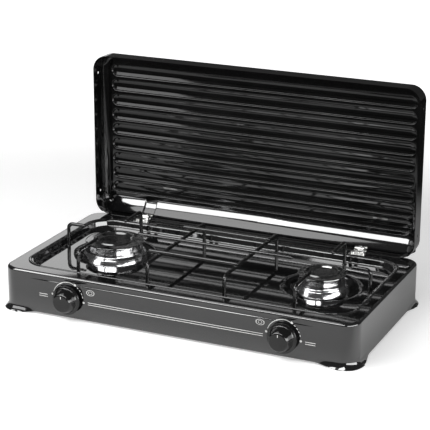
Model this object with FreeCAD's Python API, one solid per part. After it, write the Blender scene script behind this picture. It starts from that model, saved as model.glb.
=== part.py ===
"""Two-burner gas table stove with a hinged ribbed lid. Each physical piece goes to its own STEP file.

Millimetres. The table is z = 0, the front with the two knobs faces -Y and the user's right is +X.
The lid stands open, as it is shown when the stove is in use.
"""

import FreeCAD
import Part
import math
import os

# Sheet metal and the general clearances
SHEET = 1.0
RUN_FIT = 0.06          # radial gap of a part that turns or slides in its bore
PIN_FIT = 0.08          # radial gap of the hinge leaf on its pin
LOOSE_HOLE = 0.25       # radial gap of a rod or screw that passes through a sheet
LIFT_FIT = 0.5          # radial gap round the spigot of a lift-off cap
STOP_GAP = 0.05         # gap left at a stop that a moving part rests against

# Body: a pressed pan turned upside down
BODY_W = 500.0
BODY_D = 261.0
BODY_H = 60.0
CORNER_R = 24.0
TOP_EDGE_R = 3.5
FLARE = 4.0             # how far the feet spread beyond the walls
FLARE_H = 7.0           # height at which the walls begin to spread
SKIRT_Z = 3.5           # lower edge of the skirt between the feet
FOOT_SLOPE = 29.0       # length over which the skirt runs down to a foot
FOOT_LEN_X = 26.0       # from the body's side to the end of a foot along the front or the back
FOOT_LEN_Y = 26.5       # from the front or the back to the end of a foot along a side

# Rubber trims on the edge of the four feet
TRIM_WALL = 0.7
TRIM_SOLE = 0.8
TRIM_H = 2.8
TRIM_IN = 2.0           # how much shorter a trim is than its foot

# Long crease pressed into the front wall
CREASE_LEFT = 57.0      # from the body's left side to the crease
CREASE_RIGHT = 62.0
CREASE_DOWN = 10.7      # from the deck down to the crease
CREASE_H = 29.3
CREASE_DEPTH = 0.9
CREASE_RUNOUT = 34.0

# Well in the deck and the two round dishes in its floor
DECK_SIDE = 21.0        # from the body's side to the well
DECK_FRONT = 25.5
DECK_REAR = 27.5
WELL_R = 28.0
WELL_DEPTH = 9.0
WELL_DRAFT = 2.0        # how much smaller the floor is than the opening, on each side
WELL_EDGE_R = 2.0
WELL_ROOT_R = 2.0
DISH_DEPTH = 18.0
DISH_SEAT = 2.0         # how much wider a dish's floor is than the bowl that stands on it
DISH_RIM = 4.0          # flat ring round a dish that goes with the dish

# Burners: place, and the sizes that differ between the large left one and the small right one
BURNER_IN = 76.5        # from the side of the well to a burner's middle, before the shift
BURNER_SHIFT = 3.0      # the burners and their knobs sit a little to the right of the middle
BURNER_X = BODY_W / 2 - DECK_SIDE - BURNER_IN
BURNER_Y = 2.0
BURNERS = {
    "left": {"x": BURNER_SHIFT - BURNER_X, "dish": 55.0, "bowl": 38.0, "band": 46.0, "crown": 39.0,
             "cap": 40.4, "ring": 27.0, "well": 21.0, "slots": 60},
    "right": {"x": BURNER_SHIFT + BURNER_X, "dish": 51.0, "bowl": 33.0, "band": 36.5, "crown": 31.0,
              "cap": 32.0, "ring": 22.5, "well": 17.5, "slots": 48},
}
BOWL_WALL = 2.0
BOWL_TAPER = 4.0
BOWL_H = 10.5
BAND_H = 10.5           # from the bowl's rim to the top of the wide lower band
BAND_LEAN = 3.0         # how much the lower band narrows towards its top
CROWN_H = 14.5          # from there to the top of the upper band, where the flame ports are
CROWN_LEAN = 0.8        # how much the upper band narrows towards its top
CROWN_WALL = 4.0
SLOT_W = 1.2
SLOT_DEEP = 3.0
CAP_EDGE = 1.6
CAP_H = 4.3             # from the upper band to the top of the cap's ring
CAP_SUNK = 3.2
CAP_SPIGOT = 1.8
THROAT_R = 7.5
THROAT_HOLE_R = 11.0
BURNER_SCREW_R = 1.5
BURNER_SCREW_AT = 13.5
BURNER_HEAD_T = 1.6
FLANGE_OVER = 3.5       # how far the mixing tube's flange reaches past its screws
FLANGE_T = 2.5

# Wire pan supports
WIRE_R = 2.5
BEND_R = 7.0
SUPPORT_H = 26.0        # top of the wires above the deck
SUPPORT_IN = 74.5       # from the side of the well to the middle of each round of tips
TIP_AT = 43.0           # from that middle to the tips
SIDE_LEG_IN = 7.0       # from the side of the well to the legs there
FRONT_LEG_IN = 13.0
REAR_LEG_IN = 11.0
BAR_X = 55.0
RACK_Y = 3.0
CROSS_Y = 53.5
CROSS_LEFT = 14.0       # how far the two short cross wires reach past the left arch
CROSS_RIGHT = 2.0
WELD_BITE = 0.4
LEG_BELOW = 5.0         # how far a leg reaches below the well floor
NUT_R = 6.0
NUT_T = 0.8

# Gas controls behind the front wall
KNOB_SKIRT_R = 20.0
KNOB_SKIRT_T = 3.2
KNOB_NECK_R = 16.5
KNOB_FACE_R = 12.0
KNOB_GAP = 4.0          # from the front wall to the back of the knob
KNOB_DEPTH = 16.0
KNOB_WALL = 1.8
KNOB_BOSS = 3.0         # wall of the knob's boss round the stem
PRESS = 3.0             # how far a knob is pushed in
STEM_R = 3.0
STEM_FLAT = 2.0
BUSH_R = 7.0
BUSH_LIP = 2.2
BUSH_OUT = 0.8          # how far the bush stands out of the front wall
BUSH_BORE = 0.8         # gap between the stem and the bush
VALVE_FRONT = 6.5       # from the front wall to the front of the valve
VALVE_L = 38.0
VALVE_R = 10.0
VALVE_HALF = 8.0        # half of the width of the block under the valve
VALVE_RISE = 14.0       # from the rail's axis up to the knob's
VALVE_CHAMBER_R = 5.5
VALVE_CHAMBER_L = 12.0
PLUG_R = 5.0
PLUG_L = 20.0
PORT_R = 1.5
BONNET_T = 2.0
COLLAR_R = 4.7
COLLAR_T = 1.5
SPRING_R = 4.1
SPRING_WIRE_R = 0.7
SPRING_TURNS = 4
RAIL_R = 6.0
RAIL_WALL = 1.5
RAIL_BACK = 32.5        # from the front wall to the rail's axis
RAIL_CLOSED = 3.0       # length of the rail's closed ends
RAIL_OVER = 26.0        # how far the rail goes on past the left tap
RAIL_END = 12.0         # how far it goes on past the inlet pipe
BRACKET_IN = 52.5       # from a burner's middle to the bracket that hangs the rail, before the shift
BRACKET_FOOT = 12.0
BRACKET_T = 2.0
JET_DROP = 9.5          # from the knob's axis down to the jet's
JET_R = 4.0
JET_L = 8.0
JET_IN = 3.0            # how far the jet reaches into the mixing tube
MIX_R = 9.0
MIX_WALL = 1.5
MIX_DROP = 12.0         # from the dish down to the tube's axis
INLET_IN = 50.0         # from the body's side to the inlet pipe
INLET_R = 5.0
INLET_WALL = 1.2
NOZZLE_R = 4.5
NOZZLE_L = 23.0
NOZZLE_BORE = 2.5
NOZZLE_ROOT = 8.0       # plain length next to the flange
NOZZLE_BARBS = 2
NOZZLE_BITE = 1.0       # depth of the grooves between the barbs
HEX_R = 8.0             # half of the nuts' width across their flats
HEX_CLEAR = 0.5         # from the spread of the walls up to the nuts
FLANGE_HEX_T = 3.0
INLET_NUT_T = 5.0

# Lid: a shallow tray, drawn shut over the deck and then swung open
LID_SIDE = 7.0          # from the body's side to the lid's
LID_FRONT = 22.5
LID_BACK = 2.5
LID_H = 32.0
LID_R = 21.0
LID_EDGE_R = 9.0
LID_GAP = 0.5           # between the shut lid's rim and the deck
RIB_COUNT = 9
RIB_FRONT = 17.5        # from the lid's front to the nearest rib
RIB_REAR = 26.0         # from the lid's back to the nearest rib
RIB_W = 18.0
RIB_H = 4.0
RIB_MARGIN = 12.5       # from the lid's side to the ribs' round ends
LID_HOLE_R = 2.0
LID_HOLE_AT = (0.13, 0.88)
LID_HOLE_UP = 0.42

# Hinges
HINGE_IN = 78.0         # from the lid's side to the middle of a hinge
HINGE_BACK = 3.5        # from the lid's back to the hinge axis
HINGE_RISE = 4.5        # from the deck up to the hinge axis
LID_OPEN = 90.0
KNUCKLE_R = 3.0
PIN_R = 1.5
PIN_OVER = 0.6
LEAF_T = 1.2
LEAF_HALF = 7.0
LEAF_L = 18.4
LEAF_KNUCKLE = 3.0
LUG_GAP = 0.4
LUG_T = 3.0
REAR_TRIM = 2.2         # how much shorter the lid's rear wall is, so that it clears the deck as it swings
NOTCH_HALF = 9.0
NOTCH_DEEP = 8.5
HINGE_BASE_D = 13.5
TONGUE_T = 1.0          # thickness of the bracket's tongue towards the stop
TONGUE_OUT = 0.4        # how far the stop reaches past the shut lid
STOP_LIP = 1.8          # thickness of the lip that the open leaf rests on
HINGE_SCREW_R = 1.5
HINGE_SCREW_L = 5.0     # how far a screw reaches below the deck
HINGE_HEAD_R = 3.0
HINGE_HEAD_T = 1.8
RIVET_R = 1.5
RIVET_UP = 13.0         # from the hinge axis to the rivets
RIVET_HALF = 4.0        # half of the distance between them
RIVET_HEAD_R = 2.8
RIVET_HEAD_T = 1.0

# Places that follow from the sizes above
FRONT_Y = -BODY_D / 2
REAR_Y = BODY_D / 2
FOOT_X = BODY_W / 2 - FOOT_LEN_X
FOOT_Y = BODY_D / 2 - FOOT_LEN_Y
CREASE_X0 = CREASE_LEFT - BODY_W / 2
CREASE_X1 = BODY_W / 2 - CREASE_RIGHT
CREASE_Z = BODY_H - CREASE_DOWN
CREASE_FOOT_Z = CREASE_Z - CREASE_H
WELL_W = BODY_W - 2 * DECK_SIDE
WELL_D = BODY_D - DECK_FRONT - DECK_REAR
WELL_Y = (DECK_FRONT - DECK_REAR) / 2
WELL_FRONT_Y = FRONT_Y + DECK_FRONT
WELL_REAR_Y = REAR_Y - DECK_REAR
WELL_FLOOR_Z = BODY_H - WELL_DEPTH
UNDER_FLOOR_Z = WELL_FLOOR_Z - SHEET
SEAM_Z = BODY_H - WELL_EDGE_R - SHEET
DISH_Z = WELL_FLOOR_Z - DISH_DEPTH
BOWL_RIM_Z = DISH_Z + BOWL_H
BAND_TOP_Z = BOWL_RIM_Z + BAND_H
CROWN_TOP_Z = BAND_TOP_Z + CROWN_H
SLOT_Z = CROWN_TOP_Z - SLOT_DEEP
CAP_TOP_Z = CROWN_TOP_Z + CAP_H
CAP_WELL_Z = CAP_TOP_Z - CAP_SUNK
SUPPORT_TOP_Z = BODY_H + SUPPORT_H
SUPPORT_X = WELL_W / 2 - SUPPORT_IN
SIDE_LEG_X = WELL_W / 2 - SIDE_LEG_IN
FRONT_LEG_Y = WELL_FRONT_Y + FRONT_LEG_IN
REAR_LEG_Y = WELL_REAR_Y - REAR_LEG_IN
BAR_LEG_Y = REAR_LEG_Y - RACK_Y
CROSS_X0 = -BAR_X - CROSS_LEFT
CROSS_X1 = BAR_X + CROSS_RIGHT
RAIL_Z = FLARE_H + HEX_R + HEX_CLEAR
RAIL_Y = FRONT_Y + RAIL_BACK
KNOB_Z = RAIL_Z + VALVE_RISE
KNOB_AT = {side: burner["x"] for side, burner in BURNERS.items()}
KNOB_BACK_Y = FRONT_Y - KNOB_GAP
KNOB_FRONT_Y = KNOB_BACK_Y - KNOB_DEPTH
VALVE_Y = FRONT_Y + VALVE_FRONT
PLUG_Y = VALVE_Y + VALVE_CHAMBER_L
VALVE_END_Y = VALVE_Y + VALVE_L
JET_Z = KNOB_Z - JET_DROP
INLET_X = BODY_W / 2 - INLET_IN
RAIL_X0 = KNOB_AT["left"] - RAIL_OVER
RAIL_X1 = INLET_X + RAIL_END
BRACKET_X = BURNER_X - BRACKET_IN
LID_W = BODY_W - 2 * LID_SIDE
LID_D = BODY_D - LID_FRONT - LID_BACK
LID_BACK_Y = REAR_Y - LID_BACK
LID_RIM_Z = BODY_H + LID_GAP
RIB_PITCH = (LID_D - RIB_FRONT - RIB_REAR - RIB_W) / (RIB_COUNT - 1)
HINGE_X = LID_W / 2 - HINGE_IN
HINGE_Y = LID_BACK_Y - HINGE_BACK
HINGE_Z = BODY_H + HINGE_RISE
LID_BACK_OPEN_Y = HINGE_Y + (LID_RIM_Z + LID_H + RIB_H) - HINGE_Z
CENTRE_Y = (KNOB_FRONT_Y + LID_BACK_OPEN_Y) / 2


def vec(x, y, z):
    return FreeCAD.Vector(x, y, z)


def box(x0, x1, y0, y1, z0, z1):
    return Part.makeBox(x1 - x0, y1 - y0, z1 - z0, vec(x0, y0, z0))


def rod_x(radius, x0, x1, y, z):
    return Part.makeCylinder(radius, x1 - x0, vec(x0, y, z), vec(1, 0, 0))


def rod_y(radius, x, y0, y1, z):
    return Part.makeCylinder(radius, y1 - y0, vec(x, y0, z), vec(0, 1, 0))


def rod_z(radius, x, y, z0, z1):
    return Part.makeCylinder(radius, z1 - z0, vec(x, y, z0), vec(0, 0, 1))


def turned(profile, x, y):
    """A solid of revolution about the vertical line through x, y, from (radius, height) points."""
    points = [vec(x + r, y, z) for r, z in profile]
    face = Part.Face(Part.makePolygon(points + points[:1]))
    return face.revolve(vec(x, y, 0), vec(0, 0, 1), 360)


def turned_y(profile, x, z):
    """A solid of revolution about the front-to-back line through x, z, from (radius, y) points."""
    points = [vec(x + r, y, z) for r, y in profile]
    face = Part.Face(Part.makePolygon(points + points[:1]))
    return face.revolve(vec(x, 0, z), vec(0, 1, 0), 360)


def rounded_outline(width, depth, radius, y, z):
    """A closed rectangle with round corners, centred on x = 0 and on y, at the height z."""
    hx = width / 2
    hy = depth / 2
    corner = radius * (1 - math.sqrt(0.5))
    starts = [(hx, hy - radius), (-hx + radius, hy), (-hx, -hy + radius), (hx - radius, -hy)]
    mids = [(hx - corner, hy - corner), (-hx + corner, hy - corner),
            (-hx + corner, -hy + corner), (hx - corner, -hy + corner)]
    ends = [(hx - radius, hy), (-hx, hy - radius), (-hx + radius, -hy), (hx, -hy + radius)]
    edges = []
    for i in range(4):
        a, m, b = (vec(p[0], p[1] + y, z) for p in (starts[i], mids[i], ends[i]))
        following = starts[(i + 1) % 4]
        edges.append(Part.Arc(a, m, b).toShape())
        edges.append(Part.makeLine(b, vec(following[0], following[1] + y, z)))
    return Part.Wire(edges)


def edges_at(shape, z, tolerance=0.01):
    """The edges of a shape that lie in the level plane at z."""
    return [e for e in shape.Edges if abs(e.BoundBox.ZMin - z) < tolerance and abs(e.BoundBox.ZMax - z) < tolerance]


def bent_rod(points, radius, bend):
    """A round rod along straight legs, with every corner between them bent to a radius."""
    edges = []
    here = points[0]
    for i in range(1, len(points) - 1):
        corner = points[i]
        back = (here - corner).normalize()
        on = (points[i + 1] - corner).normalize()
        half = math.acos(max(-1.0, min(1.0, back.dot(on)))) / 2
        reach = bend / math.tan(half)
        start = corner + back * reach
        end = corner + on * reach
        inward = (back + on).normalize()
        middle = corner + inward * (bend / math.sin(half) - bend)
        edges.append(Part.makeLine(here, start))
        edges.append(Part.Arc(start, middle, end).toShape())
        here = end
    edges.append(Part.makeLine(here, points[-1]))
    direction = (points[1] - points[0]).normalize()
    ring = Part.Wire(Part.makeCircle(radius, points[0], direction))
    return Part.Wire(edges).makePipeShell([ring], True, False)


def union(shapes):
    first, rest = shapes[0], shapes[1:]
    return first.multiFuse(rest).removeSplitter() if rest else first


def body_block(offset, z0, z1):
    """The outside of the body, grown by offset, with its walls spreading below FLARE_H."""
    sections = []
    for z in (z0, FLARE_H, z1):
        grow = offset + FLARE * max(0.0, (FLARE_H - z) / FLARE_H)
        sections.append(rounded_outline(BODY_W + 2 * grow, BODY_D + 2 * grow, CORNER_R + grow, 0, z))
    return Part.makeLoft(sections, True, True)


def dished_well(offset):
    """The space pressed into the deck: the well and the two dishes, grown by the sheet offset."""
    slope = WELL_DRAFT / (BODY_H - WELL_FLOOR_Z)
    sections = []
    for z in (WELL_FLOOR_Z - offset, BODY_H + 1):
        grow = 2 * (offset - slope * (BODY_H - max(z, WELL_FLOOR_Z - offset)))
        sections.append(rounded_outline(WELL_W + grow, WELL_D + grow, WELL_R + grow / 2, WELL_Y, z))
    well = Part.makeLoft(sections, True, True)
    well = well.makeFillet(WELL_ROOT_R + offset, edges_at(well, WELL_FLOOR_Z - offset))
    dishes = []
    for burner in BURNERS.values():
        low = burner["bowl"] + DISH_SEAT
        over = WELL_DEPTH / 4
        top = burner["dish"] + (burner["dish"] - low) / DISH_DEPTH * over
        dishes.append(Part.makeCone(low + offset, top + offset, DISH_DEPTH + over,
                                    vec(burner["x"], BURNER_Y, DISH_Z - offset)))
    return union([well] + dishes)


def crease_wedge(shift):
    """The shallow wedge behind the crease in the front wall: deepest along its upper edge."""
    y0 = FRONT_Y + shift
    y1 = y0 + CREASE_DEPTH
    a = vec(CREASE_X0, y0, CREASE_Z)
    b = vec(CREASE_X0 + CREASE_RUNOUT, y1, CREASE_Z)
    c = vec(CREASE_X1 - CREASE_RUNOUT, y1, CREASE_Z)
    d = vec(CREASE_X1, y0, CREASE_Z)
    e = vec(CREASE_X0, y0, CREASE_FOOT_Z)
    f = vec(CREASE_X1, y0, CREASE_FOOT_Z)
    faces = [Part.Face(Part.makePolygon(list(p) + [p[0]]))
             for p in ((a, b, c, d), (b, c, f, e), (a, e, b), (d, c, f), (a, d, f, e))]
    return Part.Solid(Part.Shell(faces))


def foot_gap(across):
    """The low space between two feet, right through the body. across is the axis it runs along."""
    reach = FOOT_X if across == "y" else FOOT_Y
    profile = [(-reach, -1), (-reach, 0), (-reach + FOOT_SLOPE * 0.35, SKIRT_Z * 0.22),
               (-reach + FOOT_SLOPE * 0.7, SKIRT_Z * 0.85), (-reach + FOOT_SLOPE, SKIRT_Z)]
    profile = profile + [(-s, z) for s, z in reversed(profile)]
    far = BODY_W
    if across == "y":
        points = [vec(s, -far, z) for s, z in profile]
        sweep = vec(0, 2 * far, 0)
    else:
        points = [vec(-far, s, z) for s, z in profile]
        sweep = vec(2 * far, 0, 0)
    return Part.Face(Part.makePolygon(points + points[:1])).extrude(sweep)


def leg_places():
    """Where each vertical leg of the pan supports goes through the well floor."""
    places = []
    for side in (-1, 1):
        places.append((side * SIDE_LEG_X, BURNER_Y))
        places.append((side * SUPPORT_X, FRONT_LEG_Y))
        places.append((side * SUPPORT_X, REAR_LEG_Y))
        places.append((side * BAR_X, RACK_Y - BAR_LEG_Y))
        places.append((side * BAR_X, RACK_Y + BAR_LEG_Y))
    return places


def burner_screw_places(x):
    return [(x - BURNER_SCREW_AT, BURNER_Y), (x + BURNER_SCREW_AT, BURNER_Y)]


def hinge_screw_places(x):
    y = HINGE_Y - KNUCKLE_R - HINGE_BASE_D / 2
    return [(x - LEAF_HALF, y), (x + LEAF_HALF, y)]


def whole_pan():
    """The pressed and enamelled sheet: the deck, the well, the dishes, the four walls and the feet."""
    outer = body_block(0, TRIM_SOLE, BODY_H)
    outer = outer.makeFillet(TOP_EDGE_R, edges_at(outer, BODY_H))
    pressed = outer.cut(dished_well(0))
    inner_edge = [e for e in edges_at(pressed, BODY_H) if e.BoundBox.YMax < WELL_Y + WELL_D / 2 + 1
                  and e.BoundBox.YMin > WELL_Y - WELL_D / 2 - 1 and abs(e.BoundBox.XMax) < WELL_W / 2 + 1
                  and abs(e.BoundBox.XMin) < WELL_W / 2 + 1]
    pressed = pressed.makeFillet(WELL_EDGE_R, inner_edge)
    pressed = pressed.cut(crease_wedge(0))
    cavity = body_block(-SHEET, -1, BODY_H - SHEET)
    cavity = cavity.makeFillet(TOP_EDGE_R - SHEET, edges_at(cavity, BODY_H - SHEET))
    cavity = cavity.cut(dished_well(SHEET)).cut(crease_wedge(SHEET))
    shell = pressed.cut(cavity)
    cuts = [foot_gap("y"), foot_gap("x")]
    for burner in BURNERS.values():
        cuts.append(rod_z(THROAT_HOLE_R, burner["x"], BURNER_Y, 0, DISH_Z + 1))
        for x, y in burner_screw_places(burner["x"]):
            cuts.append(rod_z(BURNER_SCREW_R + LOOSE_HOLE, x, y, 0, DISH_Z + 1))
    for x, y in leg_places():
        cuts.append(rod_z(WIRE_R + LOOSE_HOLE, x, y, UNDER_FLOOR_Z - 2, WELL_FLOOR_Z + 1))
    for x in KNOB_AT.values():
        cuts.append(rod_y(BUSH_R, x, FRONT_Y - SHEET, FRONT_Y + CREASE_DEPTH + 2 * SHEET, KNOB_Z))
    cuts.append(rod_y(INLET_R + LOOSE_HOLE, INLET_X, REAR_Y - 2 * SHEET, REAR_Y + SHEET, RAIL_Z))
    for side in (-1, 1):
        for x, y in hinge_screw_places(side * HINGE_X):
            cuts.append(rod_z(HINGE_SCREW_R + LOOSE_HOLE, x, y, BODY_H - 2 * SHEET, BODY_H + SHEET))
    return shell.cut(cuts)


def body_pieces(pan):
    """The pan in pieces that meet edge to edge: the deck's frame, the walls, their corners and the well."""
    inside = Part.Face(rounded_outline(WELL_W + 3 * SHEET, WELL_D + 3 * SHEET, WELL_R + 1.5 * SHEET, WELL_Y, 0))
    inside = inside.extrude(vec(0, 0, SEAM_Z))
    well = pan.common(inside)
    rounds = {side: rod_z(burner["dish"] + DISH_RIM, burner["x"], BURNER_Y, 0, SEAM_Z)
              for side, burner in BURNERS.items()}
    pieces = {f"{side}_dish": well.common(cylinder) for side, cylinder in rounds.items()}
    pieces["well_floor"] = well.cut(list(rounds.values()))
    far = BODY_W
    rim = pan.cut(inside)
    walls = rim.common(box(-far, far, -far, far, -1, SEAM_Z))
    pieces["deck_frame"] = rim.common(box(-far, far, -far, far, SEAM_Z, BODY_H + 1))
    corner_x = BODY_W / 2 - CORNER_R
    corner_y = BODY_D / 2 - CORNER_R
    straight = {"front_wall": box(-corner_x, corner_x, -far, -corner_y, -1, SEAM_Z),
                "rear_wall": box(-corner_x, corner_x, corner_y, far, -1, SEAM_Z),
                "left_wall": box(-far, -corner_x, -corner_y, corner_y, -1, SEAM_Z),
                "right_wall": box(corner_x, far, -corner_y, corner_y, -1, SEAM_Z)}
    for name, space in straight.items():
        pieces[name] = walls.common(space)
    pieces["wall_corners"] = walls.cut(list(straight.values()))
    return pieces


def foot_trims(shell):
    """The rubber channels on the lower edge of the four feet."""
    band = body_block(TRIM_WALL, 0, BODY_H).cut(body_block(-SHEET - TRIM_WALL, -1, BODY_H + 1))
    trims = []
    for sx in (-1, 1):
        for sy in (-1, 1):
            x0, x1 = sorted((sx * (FOOT_X + TRIM_IN), sx * BODY_W))
            y0, y1 = sorted((sy * (FOOT_Y + TRIM_IN), sy * BODY_W))
            trims += band.common(box(x0, x1, y0, y1, 0, TRIM_H)).cut(shell).Solids
    return Part.makeCompound(trims)


def burner_bowl(burner):
    """The cast cup below the flame ring, with the mouth of the mixing tube in its floor."""
    rim = burner["bowl"]
    root = rim - BOWL_TAPER
    floor_z = DISH_Z + BOWL_WALL
    bowl = turned([(THROAT_R, DISH_Z), (root, DISH_Z), (rim, BOWL_RIM_Z), (rim - BOWL_WALL, BOWL_RIM_Z),
                   (root - BOWL_WALL, floor_z), (THROAT_R, floor_z)], burner["x"], BURNER_Y)
    holes = [rod_z(BURNER_SCREW_R + LOOSE_HOLE, x, y, DISH_Z - 1, floor_z + 1)
             for x, y in burner_screw_places(burner["x"])]
    return bowl.cut(holes)


def burner_crown(burner):
    """The flame ring: a wide sloping band, and a narrower one above with small flame ports along its edge."""
    wall = burner["crown"]
    inside = wall - CROWN_WALL
    seat = burner["bowl"] - 0.6
    band = burner["band"]
    crown = turned([(inside, BOWL_RIM_Z), (seat, BOWL_RIM_Z), (seat, BOWL_RIM_Z + 1.2),
                    (band - 0.6, BOWL_RIM_Z + 1.2), (band, BOWL_RIM_Z + 1.8), (band - BAND_LEAN, BAND_TOP_Z - 0.6),
                    (band - BAND_LEAN - 0.6, BAND_TOP_Z), (wall + 0.7, BAND_TOP_Z + 1.8), (wall, BAND_TOP_Z + 3.0),
                    (wall - CROWN_LEAN, CROWN_TOP_Z), (inside, CROWN_TOP_Z)], burner["x"], BURNER_Y)
    slots = []
    for i in range(burner["slots"]):
        slot = box(inside - 2, wall + 2, -SLOT_W / 2, SLOT_W / 2, SLOT_Z, CROWN_TOP_Z + 1)
        slot.rotate(vec(0, 0, 0), vec(0, 0, 1), 360.0 * i / burner["slots"])
        slot.translate(vec(burner["x"], BURNER_Y, 0))
        slots.append(slot)
    return crown.cut(slots)


def burner_cap(burner):
    """The loose cap on the flame ring: a raised ring round a sunken middle, and a spigot below."""
    spigot = burner["crown"] - CROWN_WALL - LIFT_FIT
    ring = burner["ring"]
    sunk = burner["well"]
    edge_z = CROWN_TOP_Z + CAP_EDGE
    return turned([(0, CROWN_TOP_Z), (spigot - 2, CROWN_TOP_Z), (spigot - 2, CROWN_TOP_Z - CAP_SPIGOT),
                   (spigot, CROWN_TOP_Z - CAP_SPIGOT), (spigot, CROWN_TOP_Z), (burner["cap"] - 0.6, CROWN_TOP_Z),
                   (burner["cap"], CROWN_TOP_Z + 0.6), (burner["cap"], edge_z - 0.5), (burner["cap"] - 0.6, edge_z),
                   (ring + 1.2, CAP_TOP_Z - 1.4), (ring, CAP_TOP_Z - 0.3), (ring - 0.8, CAP_TOP_Z),
                   (sunk + 2.0, CAP_TOP_Z), (sunk + 1.0, CAP_TOP_Z - 0.4), (sunk, CAP_WELL_Z), (0, CAP_WELL_Z)],
                  burner["x"], BURNER_Y)


def burner_screws():
    """The screws that clamp each bowl, the dish and the mixing tube's flange together."""
    floor_z = DISH_Z + BOWL_WALL
    screws = []
    for x, y in burner_screw_places(BURNERS["left"]["x"]) + burner_screw_places(BURNERS["right"]["x"]):
        shank = rod_z(BURNER_SCREW_R, x, y, DISH_Z - SHEET - FLANGE_T, floor_z + BURNER_HEAD_T / 2)
        head = rod_z(BURNER_SCREW_R * 1.8, x, y, floor_z, floor_z + BURNER_HEAD_T)
        screws.append(shank.fuse(head).removeSplitter())
    return Part.makeCompound(screws)


def mixing_tube(side, burner):
    """The tube that takes the gas jet and its air from the valve to the burner."""
    x = burner["x"]
    under_z = DISH_Z - SHEET - MIX_DROP
    mouth = vec(KNOB_AT[side], VALVE_END_Y + JET_L - JET_IN, JET_Z)
    under = vec(x, BURNER_Y, under_z)
    length = (under - mouth).Length
    outer = [Part.makeCylinder(MIX_R, length, mouth, under - mouth),
             rod_z(MIX_R, x, BURNER_Y, under_z, DISH_Z - SHEET),
             Part.makeSphere(MIX_R, under),
             rod_z(BURNER_SCREW_AT + FLANGE_OVER, x, BURNER_Y, DISH_Z - SHEET - FLANGE_T, DISH_Z - SHEET)]
    bore = MIX_R - MIX_WALL
    inner = [Part.makeCylinder(bore, length, mouth, under - mouth),
             rod_z(bore, x, BURNER_Y, under_z, DISH_Z),
             Part.makeSphere(bore, under)]
    for sx, sy in burner_screw_places(x):
        inner.append(rod_z(BURNER_SCREW_R, sx, sy, 0, DISH_Z))
    return union(outer).cut(inner)


def d_shape(radius, flat, x, y0, y1):
    """A round bar along Y with one flat on top."""
    return rod_y(radius, x, y0, y1, KNOB_Z).cut(
        box(x - radius - 1, x + radius + 1, y0 - 1, y1 + 1, KNOB_Z + flat, KNOB_Z + radius + 1))


def valve_body(x):
    """The cast tap: it wraps the rail, holds the plug and feeds the jet."""
    solid = union([rod_y(VALVE_R, x, VALVE_Y, VALVE_END_Y, KNOB_Z),
                   box(x - VALVE_HALF, x + VALVE_HALF, RAIL_Y - RAIL_R - 3, VALVE_END_Y,
                       RAIL_Z - RAIL_R - 2.5, KNOB_Z)])
    cuts = [rod_y(VALVE_CHAMBER_R, x, VALVE_Y - 1, PLUG_Y, KNOB_Z),
            rod_y(PLUG_R + RUN_FIT, x, PLUG_Y - 1, PLUG_Y + PLUG_L + 0.4, KNOB_Z),
            rod_x(RAIL_R, x - 2 * VALVE_HALF, x + 2 * VALVE_HALF, RAIL_Y, RAIL_Z),
            rod_z(PORT_R, x, RAIL_Y, RAIL_Z, KNOB_Z),
            rod_z(PORT_R, x, VALVE_END_Y - VALVE_R / 2, JET_Z, KNOB_Z),
            rod_y(PORT_R, x, VALVE_END_Y - VALVE_R / 2, VALVE_END_Y + 1, JET_Z),
            rod_y(PORT_R, x, PLUG_Y + PLUG_L, VALVE_END_Y - VALVE_R / 2, KNOB_Z)]
    return solid.cut(cuts)


def valve_bonnet(x):
    """The cover that keeps the stem in the tap."""
    cover = rod_y(VALVE_R - 0.5, x, VALVE_Y - BONNET_T, VALVE_Y, KNOB_Z)
    return cover.cut(rod_y(STEM_R + 0.3, x, VALVE_Y - BONNET_T - 1, VALVE_Y + 1, KNOB_Z))


def valve_plug(x):
    """The plug that turns in the tap and is driven by the flat on the stem."""
    plug = rod_y(PLUG_R, x, PLUG_Y, PLUG_Y + PLUG_L, KNOB_Z)
    socket = d_shape(STEM_R + RUN_FIT, STEM_FLAT + RUN_FIT, x, PLUG_Y - 1, PLUG_Y + 9 + PRESS)
    port = rod_z(PORT_R, x, RAIL_Y, KNOB_Z - PLUG_R - 1, KNOB_Z)
    outlet = rod_y(PORT_R, x, RAIL_Y, PLUG_Y + PLUG_L + 1, KNOB_Z)
    return plug.cut([socket, port, outlet])


def knob_stem(x):
    """The stem between the knob and the plug, with the collar that the spring pushes on."""
    collar_y = VALVE_Y + STOP_GAP
    stem = d_shape(STEM_R, STEM_FLAT, x, KNOB_FRONT_Y + 4, PLUG_Y + 8)
    return stem.fuse(rod_y(COLLAR_R, x, collar_y, collar_y + COLLAR_T, KNOB_Z)).removeSplitter()


def valve_spring(x):
    """The coil spring that pushes the stem and the knob back out: half turns that lean to and fro."""
    y0 = VALVE_Y + STOP_GAP + COLLAR_T + SPRING_WIRE_R + 0.05
    y1 = PLUG_Y - SPRING_WIRE_R - 0.05
    rise = (y1 - y0) / (2 * SPRING_TURNS)
    reach = math.hypot(SPRING_R, rise / 2)
    lean = math.degrees(math.atan2(rise / 2, SPRING_R))
    halves = []
    for i in range(2 * SPRING_TURNS):
        half = Part.makeTorus(reach, SPRING_WIRE_R, vec(0, 0, 0), vec(0, 0, 1), 0, 360, 180)
        half.rotate(vec(0, 0, 0), vec(0, 1, 0), lean)
        half.rotate(vec(0, 0, 0), vec(0, 0, 1), 180 * (i % 2))
        half.translate(vec(0, 0, rise * (i + 0.5)))
        halves.append(half)
    spring = union(halves)
    spring.rotate(vec(0, 0, 0), vec(1, 0, 0), -90)
    spring.translate(vec(x, y0, KNOB_Z))
    return spring


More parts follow.
